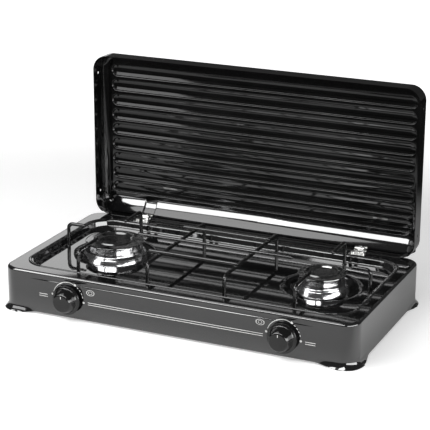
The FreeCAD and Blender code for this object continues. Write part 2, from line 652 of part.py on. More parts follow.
def knob(x):
    """The control knob: a thin skirt, a cone and a flat round face, hollow from behind."""
    back = KNOB_BACK_Y
    front = KNOB_FRONT_Y
    lip = back - KNOB_SKIRT_T
    solid = turned_y([(0, front), (KNOB_FACE_R - 1.0, front), (KNOB_FACE_R, front + 0.8), (KNOB_NECK_R, lip - 1.2),
                      (KNOB_NECK_R + 0.6, lip), (KNOB_SKIRT_R - 0.8, lip), (KNOB_SKIRT_R, lip + 0.8),
                      (KNOB_SKIRT_R, back), (0, back)], x, KNOB_Z)
    hollow = turned_y([(STEM_R + KNOB_BOSS, front + 5), (KNOB_FACE_R - KNOB_WALL - 0.6, front + 5),
                       (KNOB_NECK_R - KNOB_WALL, lip), (KNOB_SKIRT_R - KNOB_WALL, back + 1),
                       (STEM_R + KNOB_BOSS, back + 1)], x, KNOB_Z)
    bore = d_shape(STEM_R, STEM_FLAT, x, front + 4, back + 1)
    pointer = box(x - 0.7, x + 0.7, front - 1, front + 0.5, KNOB_Z + 3, KNOB_Z + KNOB_FACE_R + 1)
    return solid.cut([hollow, bore, pointer])


def panel_bushes(shell):
    """The two grommets that line the stems' holes in the front wall."""
    inner = FRONT_Y + SHEET + CREASE_DEPTH + BUSH_OUT
    grommets = []
    for x in KNOB_AT.values():
        grommet = rod_y(BUSH_R + BUSH_LIP, x, FRONT_Y - BUSH_OUT, inner, KNOB_Z)
        bore = rod_y(STEM_R + BUSH_BORE, x, FRONT_Y - 2 * BUSH_OUT, inner + BUSH_OUT, KNOB_Z)
        grommets += grommet.cut([shell, bore]).Solids
    return Part.makeCompound(grommets)


def gas_jet(x):
    """The brass jet screwed into the back of the tap."""
    y = VALVE_END_Y
    return turned_y([(1.0, y - 3), (PORT_R, y - 3), (PORT_R, y), (JET_R, y), (JET_R, y + 3), (JET_R - 1, y + 4),
                     (2.2, y + JET_L), (0.4, y + JET_L), (0.4, y + JET_L - 1.5), (1.0, y + JET_L - 2)], x, JET_Z)


def gas_rail():
    """The pipe along the front that feeds both taps."""
    rail = rod_x(RAIL_R, RAIL_X0, RAIL_X1, RAIL_Y, RAIL_Z)
    cuts = [rod_x(RAIL_R - RAIL_WALL, RAIL_X0 + RAIL_CLOSED, RAIL_X1 - RAIL_CLOSED, RAIL_Y, RAIL_Z),
            rod_y(INLET_R - INLET_WALL, INLET_X, RAIL_Y, RAIL_Y + RAIL_R + 1, RAIL_Z)]
    for x in KNOB_AT.values():
        cuts.append(rod_z(PORT_R, x, RAIL_Y, RAIL_Z, RAIL_Z + RAIL_R + 1))
    return rail.cut(cuts)


def rail_bracket(side):
    """A bent strap that hangs the rail below the deck."""
    x0 = side * BRACKET_X - BRACKET_T / 2
    x1 = x0 + BRACKET_T
    foot_end = x0 + BRACKET_FOOT
    back = RAIL_Y + RAIL_R + 4
    plate = box(x0, x1, RAIL_Y - RAIL_R - 2, back, RAIL_Z - RAIL_R - 3, UNDER_FLOOR_Z)
    foot = box(x0, foot_end, RAIL_Y + 1, back, UNDER_FLOOR_Z - 1.5, UNDER_FLOOR_Z)
    return union([plate, foot]).cut(rod_x(RAIL_R, x0 - 1, foot_end + 1, RAIL_Y, RAIL_Z))


def inlet_pipe():
    """The pipe from the hose connection at the back to the rail."""
    end = REAR_Y - SHEET - INLET_NUT_T
    pipe = rod_y(INLET_R, INLET_X, RAIL_Y, end, RAIL_Z).cut(rod_x(RAIL_R, 0, BODY_W, RAIL_Y, RAIL_Z))
    return pipe.cut(rod_y(INLET_R - INLET_WALL, INLET_X, RAIL_Y, end + 1, RAIL_Z))


def hexagon_y(radius, x, y0, y1, z):
    """A hexagonal block along Y. radius is half of its width across flats."""
    corner = radius / math.cos(math.pi / 6)
    points = [vec(x + corner * math.cos(math.pi / 3 * i), y0, z + corner * math.sin(math.pi / 3 * i))
              for i in range(6)]
    return Part.Face(Part.makePolygon(points + points[:1])).extrude(vec(0, y1 - y0, 0))


def inlet_nut():
    """The nut inside the rear wall that holds the hose connection."""
    y1 = REAR_Y - SHEET
    nut = hexagon_y(HEX_R, INLET_X, y1 - INLET_NUT_T, y1, RAIL_Z)
    return nut.cut(rod_y(INLET_R, INLET_X, y1 - INLET_NUT_T - 1, y1 + 1, RAIL_Z))


def hose_nozzle():
    """The barbed connection for the gas hose, on the rear wall."""
    inside = REAR_Y - SHEET - INLET_NUT_T
    flange = REAR_Y + FLANGE_HEX_T
    end = REAR_Y + NOZZLE_L
    profile = [(NOZZLE_BORE, inside), (INLET_R, inside), (INLET_R, REAR_Y), (INLET_R, flange)]
    root = flange + NOZZLE_ROOT
    profile = profile + [(NOZZLE_R, flange), (NOZZLE_R, root)]
    pitch = (end - root) / NOZZLE_BARBS
    for i in range(NOZZLE_BARBS):
        y = root + pitch * i
        profile = profile + [(NOZZLE_R - NOZZLE_BITE, y + 0.2), (NOZZLE_R - NOZZLE_BITE, y + 0.8),
                             (NOZZLE_R, y + 1.4), (NOZZLE_R - NOZZLE_BITE, y + pitch)]
    profile = profile + [(NOZZLE_BORE, end)]
    spigot = turned_y(profile, INLET_X, RAIL_Z)
    bore = rod_y(NOZZLE_BORE, INLET_X, inside - 1, end + 1, RAIL_Z)
    return union([spigot, hexagon_y(HEX_R, INLET_X, REAR_Y, flange, RAIL_Z)]).cut(bore)


def support_finger(leg, tip):
    """One wire pan support: a leg up from the well floor, bent over towards the burner."""
    z = SUPPORT_TOP_Z - WIRE_R
    foot = vec(leg[0], leg[1], WELL_FLOOR_Z - LEG_BELOW)
    end = vec(tip[0], tip[1], z)
    rod = bent_rod([foot, vec(leg[0], leg[1], z), end], WIRE_R, BEND_R)
    return rod.fuse(Part.makeSphere(WIRE_R, end)).removeSplitter()


def rack_bar(side):
    """One of the two wires that arch from the front to the back of the well."""
    z = SUPPORT_TOP_Z - 3 * WIRE_R + WELD_BITE
    x = side * BAR_X
    y0 = RACK_Y - BAR_LEG_Y
    y1 = RACK_Y + BAR_LEG_Y
    foot_z = WELL_FLOOR_Z - LEG_BELOW
    return bent_rod([vec(x, y0, foot_z), vec(x, y0, z), vec(x, y1, z), vec(x, y1, foot_z)], WIRE_R, BEND_R)


def cross_wire(x0, x1, y, bars):
    """A wire that lies across the two arches and is welded to them."""
    z = SUPPORT_TOP_Z - WIRE_R
    wire = union([rod_x(WIRE_R, x0, x1, y, z), Part.makeSphere(WIRE_R, vec(x0, y, z)),
                  Part.makeSphere(WIRE_R, vec(x1, y, z))])
    return wire.cut(bars)


def support_nuts():
    """The push-on nuts that hold the wire legs below the well floor."""
    nuts = []
    for x, y in leg_places():
        ring = rod_z(NUT_R, x, y, UNDER_FLOOR_Z - NUT_T, UNDER_FLOOR_Z)
        nuts.append(ring.cut(rod_z(WIRE_R, x, y, UNDER_FLOOR_Z - 2 * NUT_T, WELL_FLOOR_Z)))
    return Part.makeCompound(nuts)


def lid_block(offset):
    """The outside of the shut lid, shrunk by offset, with its upper edge rounded."""
    y = LID_BACK_Y - LID_D / 2
    z0 = LID_RIM_Z - offset
    z1 = LID_RIM_Z + LID_H - offset
    sections = [rounded_outline(LID_W - 2 * offset, LID_D - 2 * offset, LID_R - offset, y, z) for z in (z0, z1)]
    block = Part.makeLoft(sections, True, True)
    return block.makeFillet(LID_EDGE_R - offset, edges_at(block, z1))


def capsule_x(radius, x0, x1, y, z):
    """A round bar along X whose ends are half balls, centred at x0 and x1."""
    start = vec(x0 - radius, y, z)
    finish = vec(x1 + radius, y, z)
    bend = radius * math.sqrt(0.5)
    edges = [Part.Arc(start, vec(x0 - bend, y, z + bend), vec(x0, y, z + radius)).toShape(),
             Part.makeLine(vec(x0, y, z + radius), vec(x1, y, z + radius)),
             Part.Arc(vec(x1, y, z + radius), vec(x1 + bend, y, z + bend), finish).toShape(),
             Part.makeLine(finish, start)]
    return Part.Face(Part.Wire(edges)).revolve(vec(0, y, z), vec(1, 0, 0), 360)


def lid_ribs(offset):
    """The long ribs pressed outward from the lid: bars with round ends, deep inside the panel."""
    radius = (RIB_W ** 2 / 4 + RIB_H ** 2) / (2 * RIB_H)
    z = LID_RIM_Z + LID_H + RIB_H - radius
    end = LID_W / 2 - RIB_MARGIN - RIB_W / 2
    last = LID_BACK_Y - RIB_REAR - RIB_W / 2
    return [capsule_x(radius - offset, -end, end, last - RIB_PITCH * i, z) for i in range(RIB_COUNT)]


def swung_open(shape):
    """Turn a piece of the shut lid to where it is when the lid stands open."""
    moved = shape.copy()
    moved.rotate(vec(0, HINGE_Y, HINGE_Z), vec(-1, 0, 0), LID_OPEN)
    return moved


def leaf_rivet_places(x):
    """Where the rivets of one hinge leaf are on the shut lid's rear wall."""
    return [(x - RIVET_HALF, HINGE_Z + RIVET_UP), (x + RIVET_HALF, HINGE_Z + RIVET_UP)]


def lid_panel():
    """The lid: one sheet with deep sides, ribs, holes in its sides and a notch at each hinge."""
    rim = LID_RIM_Z
    above = box(-LID_W, LID_W, -LID_D, LID_D, rim + LID_H / 2, rim + 3 * LID_H)
    outer = lid_block(0).fuse([rib.common(above) for rib in lid_ribs(0)])
    panel = outer.cut(lid_block(SHEET)).cut(lid_ribs(SHEET))
    cuts = [box(-LID_W, LID_W, HINGE_Y - STOP_GAP, LID_BACK_Y + 1, rim - 1, rim + REAR_TRIM)]
    for share in LID_HOLE_AT:
        y = LID_BACK_Y - LID_D * share
        cuts.append(rod_x(LID_HOLE_R, -LID_W, LID_W, y, rim + LID_H * LID_HOLE_UP))
    for side in (-1, 1):
        x = side * HINGE_X
        cuts.append(box(x - NOTCH_HALF, x + NOTCH_HALF, LID_BACK_Y - 3 * SHEET, LID_BACK_Y + 1, rim - 1,
                        rim + NOTCH_DEEP))
        for rx, rz in leaf_rivet_places(x):
            cuts.append(rod_y(RIVET_R, rx, LID_BACK_Y - 3 * SHEET, LID_BACK_Y + 1, rz))
    return panel.cut(cuts)


def hinge_leaf(x):
    """The moving half of a hinge, riveted to the inside of the lid's rear wall."""
    back = LID_BACK_Y - SHEET
    plate = box(x - LEAF_HALF, x + LEAF_HALF, back - LEAF_T, back, HINGE_Z + KNUCKLE_R + 0.5, HINGE_Z + LEAF_L)
    neck = box(x - LEAF_KNUCKLE, x + LEAF_KNUCKLE, back - LEAF_T, back, HINGE_Z, HINGE_Z + KNUCKLE_R + 1)
    knuckle = rod_x(KNUCKLE_R, x - LEAF_KNUCKLE, x + LEAF_KNUCKLE, HINGE_Y, HINGE_Z)
    leaf = union([plate, neck, knuckle])
    cuts = [rod_x(PIN_R + PIN_FIT, x - LEAF_HALF, x + LEAF_HALF, HINGE_Y, HINGE_Z)]
    for rx, rz in leaf_rivet_places(x):
        cuts.append(rod_y(RIVET_R, rx, back - 2 * LEAF_T, back + SHEET, rz))
    return leaf.cut(cuts)


def hinge_rivets():
    """The rivets through the lid's rear wall and the hinge leaves."""
    inner = LID_BACK_Y - SHEET - LEAF_T
    rivets = []
    for side in (-1, 1):
        for x, z in leaf_rivet_places(side * HINGE_X):
            rivets.append(union([rod_y(RIVET_R, x, inner - RIVET_HEAD_T / 2, LID_BACK_Y + RIVET_HEAD_T / 2, z),
                                 rod_y(RIVET_HEAD_R, x, inner - RIVET_HEAD_T, inner, z),
                                 rod_y(RIVET_HEAD_R, x, LID_BACK_Y, LID_BACK_Y + RIVET_HEAD_T, z)]))
    return Part.makeCompound(rivets)


def hinge_bracket(x):
    """The fixed half of a hinge: a plate on the deck, two lugs and the stop that the open leaf rests on."""
    front = HINGE_Y - KNUCKLE_R - HINGE_BASE_D
    plate_end = HINGE_Y - KNUCKLE_R - LEAF_T - 0.3
    half = LEAF_HALF + HINGE_HEAD_R + 1
    leaf_under_z = HINGE_Z - (LID_BACK_Y - SHEET - HINGE_Y)
    stop_end = LID_BACK_Y + TONGUE_OUT
    pieces = [box(x - half, x + half, front, plate_end, BODY_H, BODY_H + LEAF_T),
              box(x - LEAF_KNUCKLE, x + LEAF_KNUCKLE, front, stop_end, BODY_H, BODY_H + TONGUE_T),
              box(x - LEAF_KNUCKLE, x + LEAF_KNUCKLE, stop_end - STOP_LIP, stop_end, BODY_H,
                  leaf_under_z - STOP_GAP)]
    for side in (-1, 1):
        x0, x1 = sorted((x + side * (LEAF_KNUCKLE + LUG_GAP), x + side * (LEAF_KNUCKLE + LUG_GAP + LUG_T)))
        pieces.append(rod_x(KNUCKLE_R, x0, x1, HINGE_Y, HINGE_Z))
        pieces.append(box(x0, x1, HINGE_Y - KNUCKLE_R, HINGE_Y + KNUCKLE_R - 1, BODY_H, HINGE_Z))
    cuts = [rod_x(PIN_R, x - half, x + half, HINGE_Y, HINGE_Z)]
    for sx, sy in hinge_screw_places(x):
        cuts.append(rod_z(HINGE_SCREW_R + LOOSE_HOLE, sx, sy, BODY_H - SHEET, BODY_H + 2 * LEAF_T))
    return union(pieces).cut(cuts)


def one_hinge_pin(x):
    """The pin through the leaf's knuckle and both lugs."""
    half = LEAF_KNUCKLE + LUG_GAP + LUG_T + PIN_OVER
    return rod_x(PIN_R, x - half, x + half, HINGE_Y, HINGE_Z)


def hinge_pins():
    """The two pins that the leaves turn on."""
    return Part.makeCompound([one_hinge_pin(side * HINGE_X) for side in (-1, 1)])


def hinge_screws():
    """The screws that hold both hinge brackets on the deck."""
    screws = []
    for side in (-1, 1):
        for x, y in hinge_screw_places(side * HINGE_X):
            top = BODY_H + LEAF_T
            screws.append(union([rod_z(HINGE_SCREW_R, x, y, BODY_H - HINGE_SCREW_L, top + HINGE_HEAD_T / 2),
                                 rod_z(HINGE_HEAD_R, x, y, top, top + HINGE_HEAD_T)]))
    return Part.makeCompound(screws)


def build():
    """Make every piece, named by what it is."""
    pan = whole_pan()
    bars = [rack_bar(-1), rack_bar(1)]
    pieces = body_pieces(pan)
    pieces.update({"foot_trims": foot_trims(pan), "panel_bushes": panel_bushes(pan), "burner_screws": burner_screws(),
                   "gas_rail": gas_rail(), "inlet_pipe": inlet_pipe(), "inlet_nut": inlet_nut(),
                   "hose_nozzle": hose_nozzle(), "support_nuts": support_nuts(),
                   "rack_bar_left": bars[0], "rack_bar_right": bars[1],
                   "lid_panel": swung_open(lid_panel()), "hinge_rivets": swung_open(hinge_rivets()),
                   "hinge_screws": hinge_screws(), "hinge_pins": hinge_pins()})
    for sx, side in ((-1, "left"), (1, "right")):
        burner = BURNERS[side]
        tips_x = sx * SUPPORT_X
        knob_x = KNOB_AT[side]
        pieces[f"rail_bracket_{side}"] = rail_bracket(sx)
        pieces[f"{side}_burner_bowl"] = burner_bowl(burner)
        pieces[f"{side}_burner_crown"] = burner_crown(burner)
        pieces[f"{side}_burner_cap"] = burner_cap(burner)
        pieces[f"{side}_mixing_tube"] = mixing_tube(side, burner)
        pieces[f"{side}_gas_jet"] = gas_jet(knob_x)
        pieces[f"{side}_valve_body"] = valve_body(knob_x)
        pieces[f"{side}_valve_bonnet"] = valve_bonnet(knob_x)
        pieces[f"{side}_valve_plug"] = valve_plug(knob_x)
        pieces[f"{side}_valve_spring"] = valve_spring(knob_x)
        pieces[f"{side}_knob_stem"] = knob_stem(knob_x)
        pieces[f"{side}_knob"] = knob(knob_x)
        outer_leg = (sx * SIDE_LEG_X, BURNER_Y)
        pieces[f"{side}_outer_finger"] = support_finger(outer_leg, (tips_x + sx * TIP_AT, BURNER_Y))
        pieces[f"{side}_front_finger"] = support_finger((tips_x, FRONT_LEG_Y), (tips_x, BURNER_Y - TIP_AT))
        pieces[f"{side}_rear_finger"] = support_finger((tips_x, REAR_LEG_Y), (tips_x, BURNER_Y + TIP_AT))
        hinge_x = sx * HINGE_X
        pieces[f"{side}_hinge_bracket"] = hinge_bracket(hinge_x)
        pieces[f"{side}_hinge_leaf"] = swung_open(hinge_leaf(hinge_x))
    inner_tip = SUPPORT_X - TIP_AT
    pieces["cross_wire_middle"] = cross_wire(-inner_tip, inner_tip, RACK_Y, bars)
    pieces["cross_wire_front"] = cross_wire(CROSS_X0, CROSS_X1, RACK_Y - CROSS_Y, bars)
    pieces["cross_wire_rear"] = cross_wire(CROSS_X0, CROSS_X1, RACK_Y + CROSS_Y, bars)
    return pieces


os.makedirs("parts", exist_ok=True)
for name, piece in build().items():
    placed = piece.copy()
    placed.translate(vec(0, -CENTRE_Y, 0))
    placed.exportStep(f"parts/{name}.step")
    bounds = placed.BoundBox
    corners = (bounds.XMin, bounds.XMax, bounds.YMin, bounds.YMax, bounds.ZMin, bounds.ZMax)
    print(name, len(placed.Solids), placed.isValid(), round(placed.Volume), [round(c, 2) for c in corners])
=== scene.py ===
"""Dress the two-burner table stove: fine shapes, finishes, a white studio and the camera."""
import logging
import math
from dataclasses import dataclass, field
from enum import Enum
from typing import Callable, Iterable, Sequence

import bmesh
import bpy
from mathutils import Matrix, Vector


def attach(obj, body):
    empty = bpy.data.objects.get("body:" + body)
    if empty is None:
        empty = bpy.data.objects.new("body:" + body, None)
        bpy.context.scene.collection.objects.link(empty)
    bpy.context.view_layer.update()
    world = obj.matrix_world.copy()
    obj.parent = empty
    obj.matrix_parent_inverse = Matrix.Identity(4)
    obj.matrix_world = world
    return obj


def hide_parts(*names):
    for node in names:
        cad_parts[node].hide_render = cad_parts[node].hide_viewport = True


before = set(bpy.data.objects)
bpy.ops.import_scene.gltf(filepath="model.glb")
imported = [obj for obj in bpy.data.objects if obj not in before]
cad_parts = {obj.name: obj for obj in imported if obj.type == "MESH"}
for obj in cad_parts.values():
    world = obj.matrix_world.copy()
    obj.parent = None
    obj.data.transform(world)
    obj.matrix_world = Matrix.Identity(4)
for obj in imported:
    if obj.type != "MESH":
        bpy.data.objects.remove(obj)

LOG = logging.getLogger("stove")
MM = 0.001
BODY_SHIFT_Y = -3.0     # the body's middle is this far from the frame's origin, in millimetres
MERGE = 1e-4            # corners nearer than this, in millimetres, are one
UP, ACROSS = Vector((0, 0, 1)), Vector((1, 0, 0))
TIP_RINGS = 6           # rings from the side of a round wire tip to its pole
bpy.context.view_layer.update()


def at(x: float, y: float, z: float) -> Vector:
    """Turn a place given from the middle of the body, in millimetres, into the frame's metres."""
    return Vector((x * MM, (y + BODY_SHIFT_Y) * MM, z * MM))


class Side(Enum):
    """The two halves of the stove, as the cook sees them."""

    LEFT = -1
    RIGHT = 1

    @property
    def word(self) -> str:
        """The side's name in lower case, as the nodes spell it."""
        return self.name.lower()


# Shader maths


class Signal:
    """A shader output that takes part in Python expressions, each of which adds its Math nodes."""

    def __init__(self, graph: "Graph", socket: bpy.types.NodeSocket) -> None:
        """Wrap one output socket of a graph."""
        self.graph = graph
        self.socket = socket

    def math(self, operation: str, *others: "Signal | float") -> "Signal":
        """Apply one Math operation.

        Args:
            operation: Name of the Math node's operation.
            others: Further operands, sockets or numbers.

        Returns:
            The result as a new signal.
        """
        node = self.graph.node("ShaderNodeMath", {"operation": operation}, [self, *others])
        return Signal(self.graph, node.outputs[0])

    def __add__(self, other: "Signal | float") -> "Signal":
        """Add."""
        return self.math("ADD", other)

    __radd__ = __add__

    def __mul__(self, other: "Signal | float") -> "Signal":
        """Multiply."""
        return self.math("MULTIPLY", other)

    __rmul__ = __mul__

    def __pow__(self, power: float) -> "Signal":
        """Raise to a power."""
        return self.math("POWER", power)

    def maximum(self, other: "Signal | float") -> "Signal":
        """The larger of this value and another."""
        return self.math("MAXIMUM", other)

    def ramp(self, low: float, high: float, start: float = 0.0, end: float = 1.0) -> "Signal":
        """Map a range smoothly onto another, held at its ends.

        Args:
            low: Value that gives start.
            high: Value that gives end.
            start: Result at and below low.
            end: Result at and above high.

        Returns:
            The mapped signal.
        """
        node = self.graph.node("ShaderNodeMapRange", {"interpolation_type": "SMOOTHSTEP", "clamp": True},
                               [self, low, high, start, end])
        return Signal(self.graph, node.outputs[0])


class Graph:
    """The node tree of one material, with a Principled shader at its end."""

    def __init__(self, name: str) -> None:
        """Make an empty material of this name."""
        self.material = bpy.data.materials.new(name)
        self.material.use_nodes = True
        self.tree = self.material.node_tree
        self.tree.nodes.clear()
        self.output = self.tree.nodes.new("ShaderNodeOutputMaterial")
        self.shader = self.tree.nodes.new("ShaderNodeBsdfPrincipled")
        self.tree.links.new(self.shader.outputs[0], self.output.inputs[0])

    def node(self, kind: str, settings: dict[str, object] | None = None,
             values: Sequence[object] | dict[str, object] = ()) -> bpy.types.Node:
        """Add a node, set its options first and then its inputs.

        Args:
            kind: The node's type.
            settings: Options by attribute name.
            values: Inputs, in order or by name: numbers, colours, sockets or signals.

        Returns:
            The new node.
        """
        node = self.tree.nodes.new(kind)
        for key, option in (settings or {}).items():
            setattr(node, key, option)
        pairs = values.items() if isinstance(values, dict) else enumerate(values)
        for key, value in pairs:
            self.feed(node.inputs[key], value)
        return node

    def feed(self, socket: bpy.types.NodeSocket, value: object) -> None:
        """Set or link one input.

        Args:
            socket: The input.
            value: A signal, an output socket, a number or a colour.
        """
        if isinstance(value, Signal):
            self.tree.links.new(value.socket, socket)
        elif isinstance(value, bpy.types.NodeSocket):
            self.tree.links.new(value, socket)
        elif isinstance(value, (tuple, list)) and socket.type == "RGBA" and len(value) == 3:
            socket.default_value = (*value, 1.0)
        else:
            socket.default_value = value

    def set(self, **inputs: object) -> None:
        """Feed the Principled shader's inputs, named with underscores for spaces."""
        for name, value in inputs.items():
            self.feed(self.shader.inputs[name.replace("_", " ")], value)

    def place(self, origin: Vector | None = None, scale: Sequence[float] = (1, 1, 1)) -> bpy.types.NodeSocket:
        """Object coordinates measured from a place.

        Args:
            origin: The place that becomes nought, in metres.
            scale: Stretch along each axis.

        Returns:
            The vector socket.
        """
        source = self.node("ShaderNodeTexCoord").outputs["Object"]
        start = origin or Vector((0, 0, 0))
        shifted = self.node("ShaderNodeVectorMath", {"operation": "SUBTRACT"}, [source, tuple(start)])
        scaled = self.node("ShaderNodeVectorMath", {"operation": "MULTIPLY"}, [shifted.outputs[0], tuple(scale)])
        return scaled.outputs[0]

    def axes(self, vector: bpy.types.NodeSocket) -> tuple[Signal, Signal, Signal]:
        """Split a vector into three signals."""
        node = self.node("ShaderNodeSeparateXYZ", {}, [vector])
        return tuple(Signal(self, node.outputs[i]) for i in range(3))

    def noise(self, scale: float, detail: float = 3.0, vector: bpy.types.NodeSocket | None = None) -> Signal:
        """A noise of about a given number of spots per metre.

        Args:
            scale: Spots per metre.
            detail: Octaves.
            vector: Coordinates, or None for plain object coordinates.

        Returns:
            The noise, from about 0 to 1.
        """
        node = self.node("ShaderNodeTexNoise", {}, {"Vector": vector or self.place(), "Scale": scale,
                                                    "Detail": detail})
        return Signal(self, node.outputs["Fac"])

    def mix(self, factor: Signal | float, low: object, high: object) -> bpy.types.NodeSocket:
        """Blend two colours.

        Args:
            factor: Share of the second colour.
            low: First colour.
            high: Second colour.

        Returns:
            The colour socket.
        """
        node = self.node("ShaderNodeMix", {"data_type": "RGBA"})
        self.feed(node.inputs[0], factor)
        self.feed(node.inputs[6], low)
        self.feed(node.inputs[7], high)
        return node.outputs[2]

    def bump(self, height: Signal, depth: float, strength: float = 1.0) -> bpy.types.NodeSocket:
        """Raise the surface by a height signal.

        Args:
            height: The signal, 0 to 1.
            depth: Height in metres of a signal of 1.
            strength: How much of the bump shows.

        Returns:
            The normal socket.
        """
        node = self.node("ShaderNodeBump", {}, {"Strength": strength, "Distance": depth, "Height": height})
        return node.outputs[0]


# Finishes


Colour = tuple[float, float, float]


@dataclass(frozen=True)
class GlossEnamel:
    """Baked black enamel: very smooth, with a faint orange peel and a cloudy haze."""

    name: str = "gloss_black_enamel"
    colour: Colour = (0.004, 0.004, 0.0042)
    haze: Colour = (0.009, 0.009, 0.0092)
    roughness: float = 0.05
    peel: float = 0.00004
    coat: float = 1.0
    coat_roughness: float = 0.03
    coat_ior: float = 1.6
    specular: float = 1.0

    def make(self) -> bpy.types.Material:
        """Build the material."""
        g = Graph(self.name)
        cloud = g.noise(9.0, 2.0)
        fine = g.noise(160.0, 2.0)
        speck = g.noise(2600.0, 1.0)
        colour = g.mix(cloud.ramp(0.35, 0.75), self.colour, self.haze)
        rough = fine * 0.02 + cloud * 0.02 + (self.roughness - 0.02)
        g.set(Base_Color=colour, Roughness=rough, Normal=g.bump(fine * 0.8 + speck * 0.1, self.peel, 0.5))
        g.set(Specular_IOR_Level=self.specular, Coat_Weight=self.coat, Coat_Roughness=self.coat_roughness,
              Coat_IOR=self.coat_ior)
        return g.material


@dataclass(frozen=True)
class EnamelledWire:
    """Black enamel on round wire, a touch thicker and rougher where it pooled."""

    name: str = "black_enamelled_wire"
    colour: Colour = (0.004, 0.004, 0.004)
    worn_colour: Colour = (0.012, 0.012, 0.012)
    grain: float = 0.00015

    def make(self) -> bpy.types.Material:
        """Build the material."""
        g = Graph(self.name)
        pooled = g.noise(220.0, 3.0)
        worn = g.noise(45.0, 4.0)
        g.set(Base_Color=g.mix(worn.ramp(0.55, 0.8), self.colour, self.worn_colour),
              Roughness=pooled * 0.12 + 0.10, Normal=g.bump(pooled, self.grain, 0.5), Coat_Weight=0.5)
        return g.material


@dataclass(frozen=True)
class TurnedMetal:
    """Bright metal turned on a lathe: rings round an upright axis, and light stains."""

    name: str
    axis: Vector
    colour: Colour = (0.62, 0.62, 0.63)
    stain: Colour = (0.36, 0.35, 0.34)
    roughness: float = 0.10
    rings_per_metre: float = 1800.0
    groove: float = 0.00002

    def make(self) -> bpy.types.Material:
        """Build the material."""
        g = Graph(self.name)
        x, y, z = g.axes(g.place(self.axis))
        radius = (x * x + y * y) ** 0.5
        rings = ((radius + z * 0.7) * (self.rings_per_metre * math.tau)).math("SINE") * 0.5 + 0.5
        cloud = g.noise(60.0, 4.0)
        fine = g.noise(900.0, 2.0)
        colour = g.mix(cloud.ramp(0.45, 0.85, 0.0, 0.6), self.colour, self.stain)
        rough = rings * 0.04 + cloud * 0.10 + fine * 0.04 + (self.roughness - 0.05)
        normal = g.bump(rings * 0.6 + fine * 0.4, self.groove, 0.35)
        g.set(Base_Color=colour, Metallic=1.0, Roughness=rough, Normal=normal)
        return g.material


@dataclass(frozen=True)
class PlainMetal:
    """A metal without a pattern of its own: plated, drawn or cast, as its numbers say."""

    name: str
    colour: Colour
    dull: Colour
    roughness: float
    grain: float
    grain_scale: float = 700.0
    stretch: tuple[float, float, float] = (1.0, 1.0, 1.0)

    def make(self) -> bpy.types.Material:
        """Build the material."""
        g = Graph(self.name)
        grain = g.noise(self.grain_scale, 3.0, g.place(None, self.stretch))
        cloud = g.noise(80.0, 3.0)
        g.set(Base_Color=g.mix(cloud.ramp(0.4, 0.8), self.colour, self.dull), Metallic=1.0,
              Roughness=grain * 0.12 + cloud * 0.10 + (self.roughness - 0.1), Normal=g.bump(grain, self.grain, 0.5))
        return g.material


@dataclass(frozen=True)
class Moulded:
    """Plastic or rubber straight from its mould, with a fine grain and some handling marks."""

    name: str
    colour: Colour
    roughness: float
    grain: float = 0.00003
    sheen: float = 0.5

    def make(self) -> bpy.types.Material:
        """Build the material."""
        g = Graph(self.name)
        grain = g.noise(1500.0, 2.0)
        smear = g.noise(70.0, 4.0)
        lighter = tuple(min(1.0, c * 1.7 + 0.004) for c in self.colour)
        g.set(Base_Color=g.mix(smear.ramp(0.45, 0.8), self.colour, lighter),
              Roughness=smear * 0.12 + grain * 0.05 + (self.roughness - 0.08), Normal=g.bump(grain, self.grain, 0.4))
        g.set(Specular_IOR_Level=self.sheen)
        return g.material


@dataclass(frozen=True)
class PrintedInk:
    """Pale screen print, slightly uneven where the mesh lifted."""

    name: str = "pale_print"
    colour: Colour = (0.66, 0.66, 0.65)
    thin: Colour = (0.50, 0.50, 0.49)

    def make(self) -> bpy.types.Material:
        """Build the material."""
        g = Graph(self.name)
        patch = g.noise(900.0, 3.0)
        g.set(Base_Color=g.mix(patch.ramp(0.4, 0.75), self.colour, self.thin), Roughness=patch * 0.2 + 0.25)
        return g.material


@dataclass
class Finishes:
    """Every finish of the stove, made once and shared."""

    made: dict[str, bpy.types.Material] = field(default_factory=dict)

    def get(self, finish: object) -> bpy.types.Material:
        """The material of a finish, made the first time it is asked for."""
        if finish.name not in self.made:
            self.made[finish.name] = finish.make()
        return self.made[finish.name]


ENAMEL = GlossEnamel()
LID_STRIP = GlossEnamel(name="lid_strip_enamel", roughness=0.10)
# A darker, less glossy copy of the body's enamel: painted shade on the lid, whose real enamel is the body's
LID_SHADED_ENAMEL = GlossEnamel(name="lid_black_enamel", colour=(0.002, 0.002, 0.002), haze=(0.005, 0.005, 0.005),
                         roughness=0.07, coat=0.15, specular=0.5)
WIRE = EnamelledWire()
INK = PrintedInk()
KNOB_PLASTIC = Moulded("black_knob_plastic", (0.005, 0.005, 0.005), 0.13, sheen=0.8)
RUBBER = Moulded("black_rubber", (0.016, 0.016, 0.016), 0.55, 0.00008, 0.3)
ZINC = PlainMetal("bright_zinc_plate", (0.80, 0.80, 0.79), (0.62, 0.62, 0.60), 0.25, 0.00003)
STEEL = PlainMetal("drawn_steel", (0.52, 0.52, 0.51), (0.34, 0.33, 0.31), 0.34, 0.00005, 500.0, (1.0, 0.15, 1.0))
CAST = PlainMetal("cast_aluminium", (0.60, 0.60, 0.60), (0.42, 0.42, 0.42), 0.45, 0.0002, 900.0)
BRASS = PlainMetal("turned_brass", (0.70, 0.52, 0.24), (0.48, 0.34, 0.14), 0.28, 0.00003)
PORT_SHADOW = Moulded("port_shadow", (0.02, 0.02, 0.02), 0.6, 0.0001, 0.2)
# Dark metal for the cap's sunken middle: a painted reflection of the black lid
CAP_PAINTED_REFLECTION = PlainMetal("crown_metal", (0.20, 0.20, 0.20), (0.12, 0.118, 0.115), 0.20, 0.00002)


# Mesh tools


